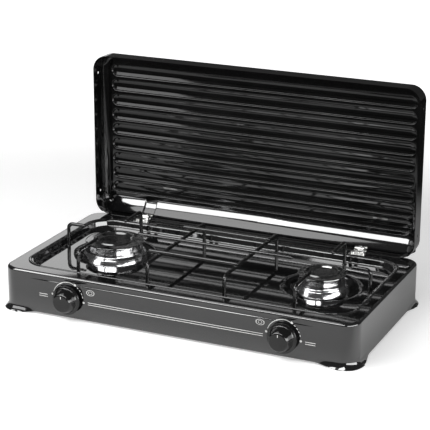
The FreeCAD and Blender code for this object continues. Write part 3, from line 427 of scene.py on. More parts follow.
class Shape:
    """A bmesh under construction, in millimetres from the middle of the body."""

    def __init__(self) -> None:
        """Start empty."""
        self.bm = bmesh.new()

    def corners(self, points: Iterable[Sequence[float]]) -> bmesh.types.BMFace:
        """Make one face from its corners."""
        return self.bm.faces.new([self.bm.verts.new(p) for p in points])

    def rounded(self, width: float, depth: float, radius: float, y: float, z: float,
                segments: int = 14) -> bmesh.types.BMFace:
        """A level rectangle with round corners.

        Args:
            width: Size along X.
            depth: Size along Y.
            radius: Corner radius.
            y: Middle along Y.
            z: Height.
            segments: Faces in each corner.

        Returns:
            The face, facing up.
        """
        hx, hy = width / 2, depth / 2
        face = self.corners([(-hx, y - hy, z), (hx, y - hy, z), (hx, y + hy, z), (-hx, y + hy, z)])
        before = set(self.bm.verts) - set(face.verts)
        self.bevel(list(face.verts), radius, segments, "VERTICES")
        fresh = [v for v in self.bm.verts if v not in before]
        faces = {f for v in fresh for f in v.link_faces}
        return next(iter(faces))

    def bevel(self, geometry: Sequence[object], offset: float, segments: int, affect: str = "EDGES") -> None:
        """Round edges or corners with an even bevel."""
        bmesh.ops.bevel(self.bm, geom=list(geometry), offset=offset, offset_type="OFFSET", segments=segments,
                        profile=0.5, affect=affect, material=-1, clamp_overlap=True)

    def extrude_edges(self, edges: Sequence[bmesh.types.BMEdge], shift: Sequence[float] = (0, 0, 0),
                      grow: tuple[float, float] | None = None, centre: Sequence[float] = (0, 0, 0),
                      ) -> list[bmesh.types.BMEdge]:
        """Extrude an open loop of edges, move it and stretch it in plan.

        Args:
            edges: The loop.
            shift: Move in millimetres.
            grow: Factors along X and Y, or None.
            centre: Point that the stretch keeps in place.

        Returns:
            The new loop's edges.
        """
        made = bmesh.ops.extrude_edge_only(self.bm, edges=list(edges))["geom"]
        verts = [g for g in made if isinstance(g, bmesh.types.BMVert)]
        fresh = [g for g in made if isinstance(g, bmesh.types.BMEdge)]
        loop = [e for e in fresh if all(v in verts for v in e.verts)]
        bmesh.ops.translate(self.bm, vec=Vector(shift), verts=verts)
        if grow:
            keep = Matrix.Translation(Vector(centre))
            scale = Matrix.Diagonal((grow[0], grow[1], 1.0, 1.0))
            bmesh.ops.transform(self.bm, matrix=keep @ scale @ keep.inverted(), verts=verts)
        return loop

    def spin(self, profile: Sequence[tuple[float, float]], centre: Vector, axis: Vector, out: Vector,
             steps: int = 96) -> None:
        """Turn a profile about an axis, with poles closed.

        Args:
            profile: Radius and height along the axis of each point, in order.
            centre: A point on the axis, where the height is nought.
            axis: Direction of the height.
            out: Direction of the radius at the start.
            steps: Faces round the turn.
        """
        verts = [self.bm.verts.new(centre + out * r + axis * h) for r, h in profile]
        edges = [self.bm.edges.new(pair) for pair in zip(verts, verts[1:])]
        bmesh.ops.spin(self.bm, geom=verts + edges, cent=centre, axis=axis, angle=math.tau, steps=steps,
                       use_merge=True, dvec=Vector((0, 0, 0)), use_duplicate=False)
        bmesh.ops.remove_doubles(self.bm, verts=self.bm.verts[:], dist=MERGE)

    def rod(self, points: Sequence[Vector], radius: float, bend: float, sides: int = 20, tip: bool = False) -> None:
        """A round wire along straight legs with bent corners.

        Args:
            points: The legs' ends and corners.
            radius: Of the wire.
            bend: Radius of each bend, at the wire's middle.
            sides: Faces round the wire.
            tip: Whether the far end is a half ball.
        """
        start = points[0]
        heading = (points[1] - start).normalized()
        turn = heading.to_track_quat("Z", "Y").to_matrix().to_4x4()
        ring = bmesh.ops.create_circle(self.bm, cap_ends=True, segments=sides, radius=radius,
                                       matrix=Matrix.Translation(start) @ turn)["verts"]
        loop = list({e for v in ring for e in v.link_edges if all(u in ring for u in e.verts)})
        here = start
        for i in range(1, len(points)):
            corner = points[i]
            heading = (corner - here).normalized()
            last = i == len(points) - 1
            reach = 0.0
            if not last:
                following = (points[i + 1] - corner).normalized()
                angle = heading.angle(following)
                reach = bend * math.tan(angle / 2)
            stop = corner - heading * reach
            loop = self.extrude_edges(loop, stop - here)
            here = stop
            if not last:
                axis = heading.cross(following).normalized()
                inward = axis.cross(heading)
                geometry = list({v for e in loop for v in e.verts}) + loop
                made = bmesh.ops.spin(self.bm, geom=geometry, cent=stop + inward * bend, axis=axis, angle=angle,
                                      steps=10, use_merge=False, use_duplicate=False,
                                      dvec=Vector((0, 0, 0)))["geom_last"]
                loop = [g for g in made if isinstance(g, bmesh.types.BMEdge)]
                here = corner + following * reach
        if tip:
            for k in range(1, TIP_RINGS):
                a0, a1 = (math.pi / 2 * j / TIP_RINGS for j in (k - 1, k))
                shrink = math.cos(a1) / math.cos(a0)
                step = heading * radius * (math.sin(a1) - math.sin(a0))
                loop = self.extrude_edges(loop, step)
                here = here + step
                keep = Matrix.Translation(here)
                bmesh.ops.transform(self.bm, matrix=keep @ Matrix.Scale(shrink, 4) @ keep.inverted(),
                                    verts=list({v for e in loop for v in e.verts}))
        bmesh.ops.contextual_create(self.bm, geom=loop)

    def sweep(self, loop: Sequence[bmesh.types.BMEdge], stations: Sequence[tuple[float, float, float]],
              centre: Sequence[float]) -> list[bmesh.types.BMEdge]:
        """Carry a level loop through a row of stations.

        Args:
            loop: The loop at the first station.
            stations: Width, depth and height of the loop at each, in order.
            centre: Point in plan that the loops share.

        Returns:
            The loop at the last station.
        """
        for (wide, deep, z), (new_wide, new_deep, new_z) in zip(stations, stations[1:]):
            loop = self.extrude_edges(loop, (0, 0, new_z - z), (new_wide / wide, new_deep / deep), centre)
        return loop

    def slice(self, faces: Iterable[bmesh.types.BMFace], place: Sequence[float], normal: Sequence[float]) -> None:
        """Cut faces along a plane and keep both sides."""
        faces = set(faces)
        geometry = list(faces) + list({e for f in faces for e in f.edges}) + list({v for f in faces for v in f.verts})
        bmesh.ops.bisect_plane(self.bm, geom=geometry, dist=1e-5, plane_co=place, plane_no=normal)

    def finish(self, name: str, materials: Sequence[bpy.types.Material], sharp: float = 40.0,
               recalculate: bool = True) -> bpy.types.Object:
        """Turn the bmesh into an object in the frame's metres.

        Args:
            name: The piece's name.
            materials: Its materials, in slot order.
            sharp: Angle in degrees past which an edge stays sharp.
            recalculate: Whether the faces are turned outward.

        Returns:
            The linked object.
        """
        bmesh.ops.remove_doubles(self.bm, verts=self.bm.verts[:], dist=MERGE)
        if recalculate:
            bmesh.ops.recalc_face_normals(self.bm, faces=self.bm.faces[:])
        bmesh.ops.translate(self.bm, vec=Vector((0, BODY_SHIFT_Y, 0)), verts=self.bm.verts[:])
        bmesh.ops.scale(self.bm, vec=Vector((MM, MM, MM)), verts=self.bm.verts[:])
        for f in self.bm.faces:
            f.smooth = True
        for e in self.bm.edges:
            e.smooth = e.is_manifold and e.calc_face_angle(0.0) < math.radians(sharp)
        mesh = bpy.data.meshes.new(name)
        self.bm.to_mesh(mesh)
        self.bm.free()
        piece = bpy.data.objects.new(name, mesh)
        bpy.context.scene.collection.objects.link(piece)
        for material in materials:
            mesh.materials.append(material)
        return piece


def thicken(piece: bpy.types.Object, sheet: float, even: bool) -> None:
    """Give a skin its sheet's thickness in millimetres, inward."""
    modifier = piece.modifiers.new("sheet", "SOLIDIFY")
    modifier.thickness = sheet * MM
    modifier.offset = -1.0
    modifier.use_even_offset = even


def even_normals(piece: bpy.types.Object) -> None:
    """Keep large flat faces flat beside narrow rounded edges."""
    modifier = piece.modifiers.new("even_normals", "WEIGHTED_NORMAL")
    modifier.keep_sharp = True
    modifier.weight = 80


def mount(piece: bpy.types.Object, body: str, slot: str, *nodes: str) -> bpy.types.Object:
    """Put a piece on its body and hide the solid nodes that it stands for.

    Args:
        piece: The new piece.
        body: The body that it rides on.
        slot: The record's material slot, which is not used.
        nodes: Solid nodes that it replaces.

    Returns:
        The same piece.
    """
    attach(piece, body)
    if nodes:
        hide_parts(*nodes)
    LOG.info("%s: %d faces on %s", piece.name, len(piece.data.polygons), body)
    return piece


def dress(node: str, material: bpy.types.Material) -> None:
    """Give a solid node its finish."""
    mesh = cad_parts[node].data
    mesh.materials.clear()
    mesh.materials.append(material)
    LOG.info("%s dressed in %s", node, material.name)


# Body


@dataclass
class Body:
    """The pressed sheet with the deck, the well, the dishes, the walls and the feet."""

    finishes: Finishes
    width: float = 500.0
    depth: float = 261.0
    height: float = 60.0
    corner: float = 24.0
    top_edge: float = 3.5
    well_width: float = 458.0
    well_depth: float = 208.0
    well_y: float = -1.0
    well_corner: float = 28.0
    well_floor: float = 51.0
    well_draft: float = 1.2
    well_edge: float = 2.0
    bead: float = 1.0
    bead_half: float = 2.2
    bead_faces: int = 10
    root: float = 2.0
    dish_floor: float = 33.0
    flare: float = 4.0
    flare_top: float = 10.0
    flare_faces: int = 8
    flare_power: float = 1.8
    skirt: float = 3.5
    sole: float = 0.8
    foot_x: float = 224.0
    foot_y: float = 104.0
    foot_slope: float = 29.0
    foot_cuts: int = 8
    sheet: float = 1.0
    crease_z: float = 50.0
    crease_soft: float = 1.0
    crease_foot: float = 20.0
    crease_x: tuple[float, float] = (-193.0, 188.0)
    crease_depth: float = 0.9
    crease_runout: float = 34.0
    dishes: tuple[tuple[float, float, float], ...] = ((-149.5, 55.0, 40.0), (155.5, 51.0, 35.0))
    dish_soft: float = 5.0
    throat: float = 11.0
    burner_y: float = 2.0

    def skirt_height(self, along: float, reach: float) -> float:
        """Height of the skirt's edge at a distance from the middle of a wall.

        Args:
            along: Distance from the wall's middle.
            reach: Where the foot stands on the table.

        Returns:
            The edge's height in millimetres.
        """
        share = max(0.0, min(1.0, (reach - abs(along)) / self.foot_slope))
        return self.sole + (self.skirt - self.sole) * share * share * (3 - 2 * share)

    def crease_at(self, x: float, z: float) -> float:
        """How deep the front wall is pressed in at a place: the strip above the crease stands back."""
        slope = self.crease_depth / self.crease_runout
        ends = min(self.crease_depth, slope * (x - self.crease_x[0]), slope * (self.crease_x[1] - x))
        low, high = self.crease_z - self.crease_soft, self.crease_z + self.crease_soft
        rise = max(0.0, min(1.0, (z - low) / (high - low)))
        fall = max(0.0, min(1.0, (self.height - self.top_edge - z) / 3.0))
        return max(0.0, ends) * rise * rise * (3 - 2 * rise) * fall

    def build(self) -> bpy.types.Object:
        """Build and dress the body.

        Returns:
            The finished piece.
        """
        s = Shape()
        outer = s.rounded(self.width - 2 * self.top_edge, self.depth - 2 * self.top_edge,
                          self.corner - self.top_edge, 0, self.height)
        top = list(outer.edges)
        s.bm.faces.remove(outer)
        self._walls(s, top)
        bmesh.ops.bridge_loops(s.bm, edges=top + self._well(s))
        self._feet(s)
        self._crease(s)
        bmesh.ops.recalc_face_normals(s.bm, faces=s.bm.faces[:])
        piece = s.finish("body_sheet", [self.finishes.get(ENAMEL)], 50.0)
        thicken(piece, self.sheet, True)
        even_normals(piece)
        return mount(piece, "stove_body", "black_enamel", "deck_frame", "front_wall", "rear_wall", "left_wall",
                     "right_wall", "wall_corners", "well_floor", "left_dish", "right_dish")

    @staticmethod
    def _over(wide: float, deep: float, z: float, radius: float, outward: float,
              steps: int) -> list[tuple[float, float, float]]:
        """Stations of a loop that goes over a rounded edge, from level to upright.

        Args:
            wide: The loop's width at its start.
            deep: Its depth at its start.
            z: Its height at its start.
            radius: Of the edge.
            outward: 1 where the loop grows on its way down, and -1 where it shrinks.
            steps: Faces round the edge.

        Returns:
            The stations, the start among them.
        """
        angles = [math.pi / 2 * k / steps for k in range(steps + 1)]
        return [(wide + 2 * outward * radius * math.sin(a), deep + 2 * outward * radius * math.sin(a),
                 z - radius * (1 - math.cos(a))) for a in angles]

    def _walls(self, s: Shape, loop: list) -> None:
        """Add the rounded top edge, the four walls and the spread foot of the walls."""
        stations = self._over(self.width - 2 * self.top_edge, self.depth - 2 * self.top_edge, self.height,
                              self.top_edge, 1, 6)
        start = self.height - self.top_edge
        levels = [start - 1.5, start - 3.0]
        levels += [self.crease_z + self.crease_soft * (1 - k / 4) for k in range(9)]
        levels += [40.0, 30.0, self.crease_foot, self.flare_top]
        stations += [(self.width, self.depth, z) for z in levels]
        for k in range(1, self.flare_faces + 1):
            share = k / self.flare_faces
            grow = 2 * self.flare * share ** self.flare_power
            stations.append((self.width + grow, self.depth + grow,
                             self.flare_top - (self.flare_top - self.sole) * share))
        s.sweep(loop, stations, (0, 0, 0))

    def _well(self, s: Shape) -> list:
        """Add the raised bead, the well and its two dishes, and return the loop round the bead."""
        start = self.well_edge + 2 * self.bead_half
        wide, deep = self.well_width + 2 * start, self.well_depth + 2 * start
        mouth = s.rounded(wide, deep, self.well_corner + start, self.well_y, self.height)
        top = list(mouth.edges)
        s.bm.faces.remove(mouth)
        stations = [(wide - 4 * self.bead_half * share, deep - 4 * self.bead_half * share,
                     self.height + self.bead * math.sin(math.pi * share) ** 2)
                    for share in (k / self.bead_faces for k in range(self.bead_faces + 1))]
        stations += self._over(self.well_width + 2 * self.well_edge, self.well_depth + 2 * self.well_edge,
                               self.height, self.well_edge, -1, 4)[1:]
        wide, deep = self.well_width - 2 * self.well_draft, self.well_depth - 2 * self.well_draft
        for a in (math.pi / 2 * k / 5 for k in range(6)):
            inward = 2 * self.root * (1 - math.cos(a))
            stations.append((wide - inward, deep - inward, self.well_floor + self.root * (1 - math.sin(a))))
        loop = s.sweep(top, stations, (0, self.well_y, 0))
        rims = []
        for x, rim_radius, low_radius in self.dishes:
            rims += self._dish(s, x, rim_radius, low_radius)
        bmesh.ops.triangle_fill(s.bm, edges=loop + rims, use_beauty=True, use_dissolve=False, normal=UP)
        return top

    def _dish(self, s: Shape, x: float, rim: float, low: float) -> list:
        """Add one round dish, and return the loop at its rim, level with the well's floor."""
        place = Matrix.Translation((x, self.burner_y, self.well_floor))
        ring = bmesh.ops.create_circle(s.bm, cap_ends=False, segments=96, radius=rim + self.dish_soft,
                                       matrix=place)["verts"]
        top = list({e for v in ring for e in v.link_edges})
        fall = self.well_floor - self.dish_floor
        profile = [(rim + self.dish_soft, 0.0), (rim + 2.6, 0.25), (rim + 0.6, 0.9), (rim - 1.2, 2.0),
                   (rim - 2.8, 3.6), (rim - 5.6, 7.0), (low + 3.4, fall - 3.4), (low + 1.8, fall - 1.4),
                   (low + 0.2, fall - 0.4), (low - 1.6, fall), (low - 8.0, fall), (self.throat, fall)]
        s.sweep(top, [(radius, radius, self.well_floor - depth) for radius, depth in profile],
                (x, self.burner_y, 0))
        return top

    def _feet(self, s: Shape) -> None:
        """Cut the skirt's edge to its wave between the feet, and set it upright where it is high."""
        top, half_wide, half_deep = self.flare_top, self.width / 2, self.depth / 2
        for reach, normal in ((self.foot_x, Vector((1, 0, 0))), (self.foot_y, Vector((0, 1, 0)))):
            for k in range(self.foot_cuts + 1):
                for sign in (-1, 1):
                    place = normal * (reach - self.foot_slope * k / self.foot_cuts) * sign
                    s.slice((f for f in s.bm.faces if f.calc_center_median().z < top), place, normal)
        for v in s.bm.verts:
            if v.co.z >= top - MERGE:
                continue
            x, y = abs(v.co.x), abs(v.co.y)
            front_or_back = y > half_deep - 1.0 and x < half_wide - self.corner
            edge = self.skirt_height(v.co.x, self.foot_x) if front_or_back else self.sole
            if x > half_wide - 1.0 and y < half_deep - self.corner:
                edge = self.skirt_height(v.co.y, self.foot_y)
            share = (top - v.co.z) / (top - self.sole)
            v.co.z = top - (top - edge) * share
            spread = 1 - (edge - self.sole) / (self.skirt - self.sole)
            if front_or_back:
                v.co.y = math.copysign(half_deep + (y - half_deep) * spread, v.co.y)
            elif y < half_deep - self.corner:
                v.co.x = math.copysign(half_wide + (x - half_wide) * spread, v.co.x)

    def _crease(self, s: Shape) -> None:
        """Set the strip of the front wall above the crease back."""
        left, right = self.crease_x
        front, foot = -self.depth / 2, self.crease_foot
        for x in (left, left + self.crease_runout, right - self.crease_runout, right):
            centres = ((f, f.calc_center_median()) for f in s.bm.faces)
            s.slice((f for f, c in centres if c.y < front + 0.5 and c.z > foot - 3), (x, 0, 0), ACROSS)
        for v in s.bm.verts:
            if v.co.y < front + 0.3 and v.co.z > foot - 0.1:
                v.co.y += self.crease_at(v.co.x, v.co.z)


# Front print


@dataclass
class FrontPrint:
    """The pale marks on the front wall: stripes, a dial arc round each knob and small ovals."""

    finishes: Finishes
    body: Body
    ink: float = 0.10
    stripe_gap: float = 2.9
    stripe_height: float = 0.8
    stripes: tuple[tuple[float, float, float], ...] = ((-193.0, -180.5, 29.5), (-120.0, 128.0, 27.6),
                                                       (184.5, 198.0, 26.6))
    dials: tuple[tuple[float, float], ...] = ((-149.5, 29.5), (155.5, 29.5))
    ovals: tuple[tuple[float, float], ...] = ((-116.0, 43.0), (124.0, 44.2))

    def build(self) -> bpy.types.Object:
        """Build all the marks as one thin piece.

        Returns:
            The finished piece.
        """
        s = Shape()
        for x0, x1, z in self.stripes:
            for level in (z - self.stripe_gap / 2, z + self.stripe_gap / 2):
                self._bar(s, x0, x1, level)
        for x, z in self.dials:
            self._dial(s, x, z)
        for x, z in self.ovals:
            self._oval(s, x, z)
        for v in s.bm.verts:
            v.co.y += self.body.crease_at(v.co.x, v.co.z)
        bmesh.ops.solidify(s.bm, geom=s.bm.faces[:], thickness=self.ink)
        piece = s.finish("front_print", [self.finishes.get(INK)], 30.0)
        return mount(piece, "stove_body", "black_enamel")

    def _y(self) -> float:
        """Where the print's skin lies, just proud of the wall."""
        return -self.body.depth / 2 - self.ink

    def _bar(self, s: Shape, x0: float, x1: float, z: float) -> None:
        """One thin level stripe, in short lengths so that it follows the wall."""
        half = self.stripe_height / 2
        steps = max(1, round((x1 - x0) / 12))
        face = s.corners([(x0, self._y(), z - half), (x1, self._y(), z - half), (x1, self._y(), z + half),
                          (x0, self._y(), z + half)])
        long = [e for e in face.edges if abs(e.verts[0].co.x - e.verts[1].co.x) > 1]
        if steps > 1:
            bmesh.ops.subdivide_edges(s.bm, edges=long, cuts=steps - 1, use_grid_fill=True)

    def _band(self, s: Shape, x: float, z: float, start: float, end: float, inner: Callable[[float], float],
              outer: Callable[[float], float], steps: int, squash: float = 1.0) -> None:
        """A curved band between two radii that may change along it, flattened by a factor."""
        previous = None
        for k in range(steps + 1):
            t = k / steps
            a = math.radians(start + (end - start) * t)
            pair = [s.bm.verts.new((x + r * math.cos(a), self._y(), z + r * squash * math.sin(a)))
                    for r in (inner(t), outer(t))]
            if previous:
                s.bm.faces.new((previous[0], previous[1], pair[1], pair[0]))
            previous = pair

    def _dot(self, s: Shape, x: float, z: float, radius: float) -> None:
        """A round spot."""
        turn = Matrix.Translation((x, self._y(), z)) @ Matrix.Rotation(math.pi / 2, 4, "X")
        bmesh.ops.create_circle(s.bm, cap_ends=True, segments=32, radius=radius, matrix=turn)

    def _dial(self, s: Shape, x: float, z: float) -> None:
        """An arc that swells from one end to the other, with a dot at each end and short ticks."""
        self._dot(s, x - 23.2, z + 3.6, 1.5)
        self._dot(s, x + 23.2, z - 1.6, 1.5)
        self._band(s, x, z, 160.0, 62.0, lambda t: 22.4, lambda t: 23.0 + 0.5 * math.sin(math.pi * t), 40)
        for angle in (50.0, 38.0, 26.0, 14.0):
            self._band(s, x, z, angle + 3.0, angle - 3.0, lambda t: 22.4, lambda t: 23.3, 4)
        self._band(s, x, z, 66.0, 58.0, lambda t: 21.8 + t, lambda t: 24.8 - t, 4)

    def _oval(self, s: Shape, x: float, z: float) -> None:
        """Two small ovals, one inside the other."""
        for low, high, squash in ((5.1, 6.0, 0.66), (2.3, 2.9, 0.75)):
            self._band(s, x, z, 0.0, 360.0, lambda t: low, lambda t: high, 32, squash)


# Burners


@dataclass
class Burner:
    """One burner: its cup, its slotted flame ring with a polished band, and its loose cap."""

    finishes: Finishes
    side: Side
    x: float
    bowl: float
    band: float
    crown: float
    cap: float
    ring: float
    sunk: float
    slots: int
    y: float = 2.0
    bowl_floor: float = 33.0
    bowl_rim: float = 43.5
    band_top: float = 54.0
    crown_top: float = 68.5
    cap_top: float = 72.8
    cap_well: float = 69.6
    slot_floor: float = 65.5
    wall: float = 4.0
    port_pitch: int = 4
    port_depth: float = 2.0

    @property
    def centre(self) -> Vector:
        """The burner's upright axis, at the table."""
        return Vector((self.x, self.y, 0))

    def build(self) -> list[bpy.types.Object]:
        """Build the cup, the flame ring and the cap.

        Returns:
            The three pieces.
        """
        place = at(self.centre.x, self.centre.y, 0)
        bright = self.finishes.get(TurnedMetal(f"{self.side.word}_polished_metal", place))
        cap = self.finishes.get(TurnedMetal(f"{self.side.word}_cap_metal", place, (0.30, 0.30, 0.30),
                                            (0.20, 0.195, 0.19), 0.09))
        dark_reflection = self.finishes.get(CAP_PAINTED_REFLECTION)
        return [self._bowl(bright), self._crown(bright), self._cap(cap, dark_reflection)]

    def _bowl(self, bright: bpy.types.Material) -> bpy.types.Object:
        """The cup below the flame ring."""
        s = Shape()
        r, z0, z1 = self.bowl, self.bowl_floor, self.bowl_rim
        s.spin([(7.5, z0), (r - 7.0, z0), (r - 5.2, z0 + 0.3), (r - 3.7, z0 + 1.2), (r - 2.6, z0 + 3.0),
                (r - 1.2, z0 + 6.0), (r - 0.3, z1 - 1.0), (r - 0.1, z1 - 0.3), (r - 0.5, z1), (r - 2.0, z1),
                (r - 3.0, z0 + 6.0), (r - 6.0, z0 + 2.0), (7.5, z0 + 2.0), (7.5, z0)],
               self.centre, UP, ACROSS, 128)
        piece = s.finish(f"{self.side.word}_cup", [bright], 35.0)
        return mount(piece, "stove_body", "polished_burner", f"{self.side.word}_burner_bowl")

    def _crown(self, bright: bpy.types.Material) -> bpy.types.Object:
        """The flame ring: a wide lower band, a step, and the upper band with small ports along its edge."""
        s = Shape()
        z0, z1, top = self.bowl_rim, self.band_top, self.crown_top
        inside, wall, band, seat = self.crown - self.wall, self.crown, self.band, self.bowl - 0.6
        s.spin([(inside, z0), (seat - 0.4, z0), (seat, z0 + 0.3), (seat, z0 + 1.2), (band - 0.9, z0 + 1.2),
                (band - 0.3, z0 + 1.35), (band, z0 + 1.8), (band - 0.5, z0 + 3.6), (band - 1.3, z0 + 5.8),
                (band - 2.3, z1 - 2.4), (band - 3.0, z1 - 0.9), (band - 3.3, z1 - 0.3), (band - 3.9, z1 + 0.1),
                (wall + 1.0, z1 + 1.5), (wall + 0.4, z1 + 1.9), (wall, z1 + 2.6), (wall - 0.15, z1 + 4.0),
                (wall - 0.8, self.slot_floor - 3.5), (wall - 1.7, self.slot_floor), (wall - 1.9, top),
                (inside, top), (inside, self.slot_floor), (inside, z0)],
               self.centre, UP, ACROSS, self.slots * self.port_pitch)
        ports = []
        for f in s.bm.faces:
            c = f.calc_center_median() - self.centre
            radius = math.hypot(c.x, c.y)
            if radius > wall - 1.0 and self.slot_floor < c.z < top:
                turn = math.atan2(c.y, c.x) / math.tau * self.slots * self.port_pitch
                if int(round(turn - 0.5)) % self.port_pitch == 0:
                    ports.append(f)
        cut = bmesh.ops.extrude_discrete_faces(s.bm, faces=ports)["faces"]
        for f in cut:
            c = f.calc_center_median() - self.centre
            inward = -Vector((c.x, c.y, 0)).normalized() * self.port_depth
            bmesh.ops.translate(s.bm, vec=inward, verts=list(f.verts))
            f.material_index = 1
            for e in f.edges:
                for g in e.link_faces:
                    g.material_index = 1
        dark = self.finishes.get(PORT_SHADOW)
        piece = s.finish(f"{self.side.word}_flame_ring", [bright, dark], 32.0, recalculate=False)
        return mount(piece, "stove_body", "polished_burner", f"{self.side.word}_burner_crown")

    def _cap(self, metal: bpy.types.Material, dark_reflection: bpy.types.Material) -> bpy.types.Object:
        """The cap: a wide sloping plate, a thin raised ring and a sunken middle."""
        s = Shape()
        top, z = self.cap_top, self.crown_top
        spigot = self.crown - self.wall - 0.5
        edge = self.cap
        s.spin([(0, z + 0.1), (spigot - 2, z + 0.1), (spigot - 2, z - 1.8), (spigot, z - 1.8), (spigot, z),
                (edge - 0.9, z), (edge - 0.2, z + 0.25), (edge, z + 0.7), (edge - 0.15, z + 1.2),
                (edge - 0.7, z + 1.6),
                (edge - 3.0, z + 1.75), (self.ring + 3.0, z + 2.2), (self.ring + 1.4, z + 2.6),
                (self.ring + 0.5, top - 0.9), (self.ring - 0.1, top - 0.25), (self.ring - 0.9, top),
                (self.ring - 1.8, top - 0.15), (self.ring - 2.5, top - 0.7), (self.sunk + 1.6, self.cap_well + 0.8),
                (self.sunk, self.cap_well + 0.2), (self.sunk - 1.6, self.cap_well), (0, self.cap_well)],
               self.centre, UP, ACROSS, 128)
        # the sunken middle gets the darker metal, a painted reflection of the black lid
        for f in s.bm.faces:
            c = f.calc_center_median() - self.centre
            if math.hypot(c.x, c.y) < self.sunk + 1.6 and c.z > z + 0.5:
                f.material_index = 1
        piece = s.finish(f"{self.side.word}_cap_plate", [metal, dark_reflection], 35.0)
        return mount(piece, f"{self.side.word}_cap", "polished_burner", f"{self.side.word}_burner_cap")


# Pan supports


@dataclass
class PanSupports:
    """The six single bent wires round the burners and the rack between them."""

    finishes: Finishes
    radius: float = 2.5
    bend: float = 7.0
    top: float = 86.0
    foot: float = 46.0
    floor: float = 51.0
    tips_x: float = 154.5
    tips_y: float = 2.0
    tip_at: float = 43.0
    side_leg: float = 222.0
    end_legs: tuple[float, float] = (-92.0, 92.0)
    bar_x: float = 55.0
    bar_leg: float = 89.0
    rack_y: float = 3.0
    cross_y: float = 53.5
    cross_x: tuple[float, float] = (-69.0, 57.0)
    bite: float = 0.4

    def build(self) -> list[bpy.types.Object]:
        """Build the six fingers, the two arches, the three cross wires and their weld beads.

        Returns:
            The pieces.
        """
        pieces = []
        z = self.top - self.radius
        for side in Side:
            x = side.value * self.tips_x
            plans = (("outer", Vector((side.value * self.side_leg, self.tips_y, 0)),
                      Vector((x + side.value * self.tip_at, self.tips_y, z))),
                     ("front", Vector((x, self.end_legs[0], 0)), Vector((x, self.tips_y - self.tip_at, z))),
                     ("rear", Vector((x, self.end_legs[1], 0)), Vector((x, self.tips_y + self.tip_at, z))))
            for word, leg, tip in plans:
                s = Shape()
                s.rod([Vector((leg.x, leg.y, self.foot)), Vector((leg.x, leg.y, z)), tip], self.radius, self.bend,
                      tip=True)
                self._collar(s, leg.x, leg.y)
                pieces.append(self._done(s, f"{side.word}_{word}_wire", f"{side.word}_{word}_finger"))
        pieces += self._rack(z)
        return pieces

    def _done(self, s: Shape, name: str, *nodes: str) -> bpy.types.Object:
        """Finish a black wire piece."""
        piece = s.finish(name, [self.finishes.get(WIRE)], 50.0)
        return mount(piece, "stove_body", "black_wire", *nodes)

    def _collar(self, s: Shape, x: float, y: float) -> None:
        """A thin ring of enamel where a leg goes through the floor."""
        s.spin([(self.radius - 0.2, self.floor + 1.0), (self.radius + 0.5, self.floor + 0.7),
                (self.radius + 1.3, self.floor + 0.05), (self.radius - 0.2, self.floor + 0.05),
                (self.radius - 0.2, self.floor + 1.0)], Vector((x, y, 0)), UP, ACROSS, 24)

    def _rack(self, z: float) -> list[bpy.types.Object]:
        """Build the middle rack."""
        pieces = []
        low = z - 2 * self.radius + self.bite
        y0, y1 = self.rack_y - self.bar_leg, self.rack_y + self.bar_leg
        for side in Side:
            x = side.value * self.bar_x
            s = Shape()
            s.rod([Vector((x, y0, self.foot)), Vector((x, y0, low)),
                   Vector((x, y1, low)), Vector((x, y1, self.foot))],
                  self.radius, self.bend)
            self._collar(s, x, y0)
            self._collar(s, x, y1)
            pieces.append(self._done(s, f"{side.word}_arch", f"rack_bar_{side.word}"))
        inner = self.tips_x - self.tip_at
        wires = (("middle", -inner, inner, self.rack_y),
                 ("front", *self.cross_x, self.rack_y - self.cross_y),
                 ("rear", *self.cross_x, self.rack_y + self.cross_y))
        for word, x0, x1, y in wires:
            s = Shape()
            middle = Vector(((x0 + x1) / 2, y, z))
            for end in (x0, x1):
                s.rod([middle, Vector((end, y, z))], self.radius, self.bend, tip=True)
            for side in Side:
                bead = Matrix.Translation((side.value * self.bar_x, y, z - self.radius)) @ Matrix.Diagonal(
                    (1.9, 1.9, 0.9, 1))
                bmesh.ops.create_icosphere(s.bm, subdivisions=3, radius=1.6, matrix=bead)
            pieces.append(self._done(s, f"{word}_cross_wire", f"cross_wire_{word}"))
        return pieces


# Knobs


@dataclass
class Knob:
    """One control knob: a thin skirt, a cone and a flat round face with a pointer line."""

    finishes: Finishes
    side: Side
    x: float
    z: float = 29.5
    back: float = -134.5
    depth: float = 16.0
    skirt: float = 20.0
    skirt_thick: float = 3.2
    neck: float = 16.5
    face: float = 12.0
    line_half: float = 0.45
    line_from: float = 6.5

    def build(self) -> bpy.types.Object:
        """Build the knob, with its pointer as a thin pale line.

        Returns:
            The finished piece.
        """
        s = Shape()
        front, lip = self.depth, self.skirt_thick
        centre = Vector((self.x, self.back, self.z))
        s.spin([(6.0, 0.0), (6.0, 10.5), (self.face - 2.4, 10.5), (self.neck - 1.8, lip + 0.4),
                (self.skirt - 1.8, 0.2),
                (self.skirt - 1.2, 0.0), (self.skirt - 0.3, 0.2), (self.skirt, 0.8), (self.skirt, lip - 1.0),
                (self.skirt - 0.4, lip - 0.3), (self.skirt - 1.2, lip), (self.neck + 1.4, lip + 0.05),
                (self.neck + 0.5, lip + 0.5), (self.neck, lip + 1.4), (self.neck - 1.0, 8.0), (self.face + 1.9, 12.5),
                (self.face + 0.9, 14.6), (self.face + 0.2, 15.4), (self.face - 0.9, 15.9), (self.face - 2.2, front),
                (0, front)], centre, Vector((0, -1, 0)), ACROSS, 96)
        pale = self.finishes.get(INK)
        body = self.finishes.get(KNOB_PLASTIC)
        x0, x1 = self.x - self.line_half, self.x + self.line_half
        y, z0, z1 = self.back - front - 0.02, self.z + self.line_from, self.z + self.face - 1.9
        line = s.corners([(x0, y, z0), (x1, y, z0), (x1, y, z1), (x0, y, z1)])
        line.material_index = 1
        piece = s.finish(f"{self.side.word}_knob_grip", [body, pale], 38.0)
        return mount(piece, f"{self.side.word}_knob_set", "black_plastic", f"{self.side.word}_knob")


# Lid


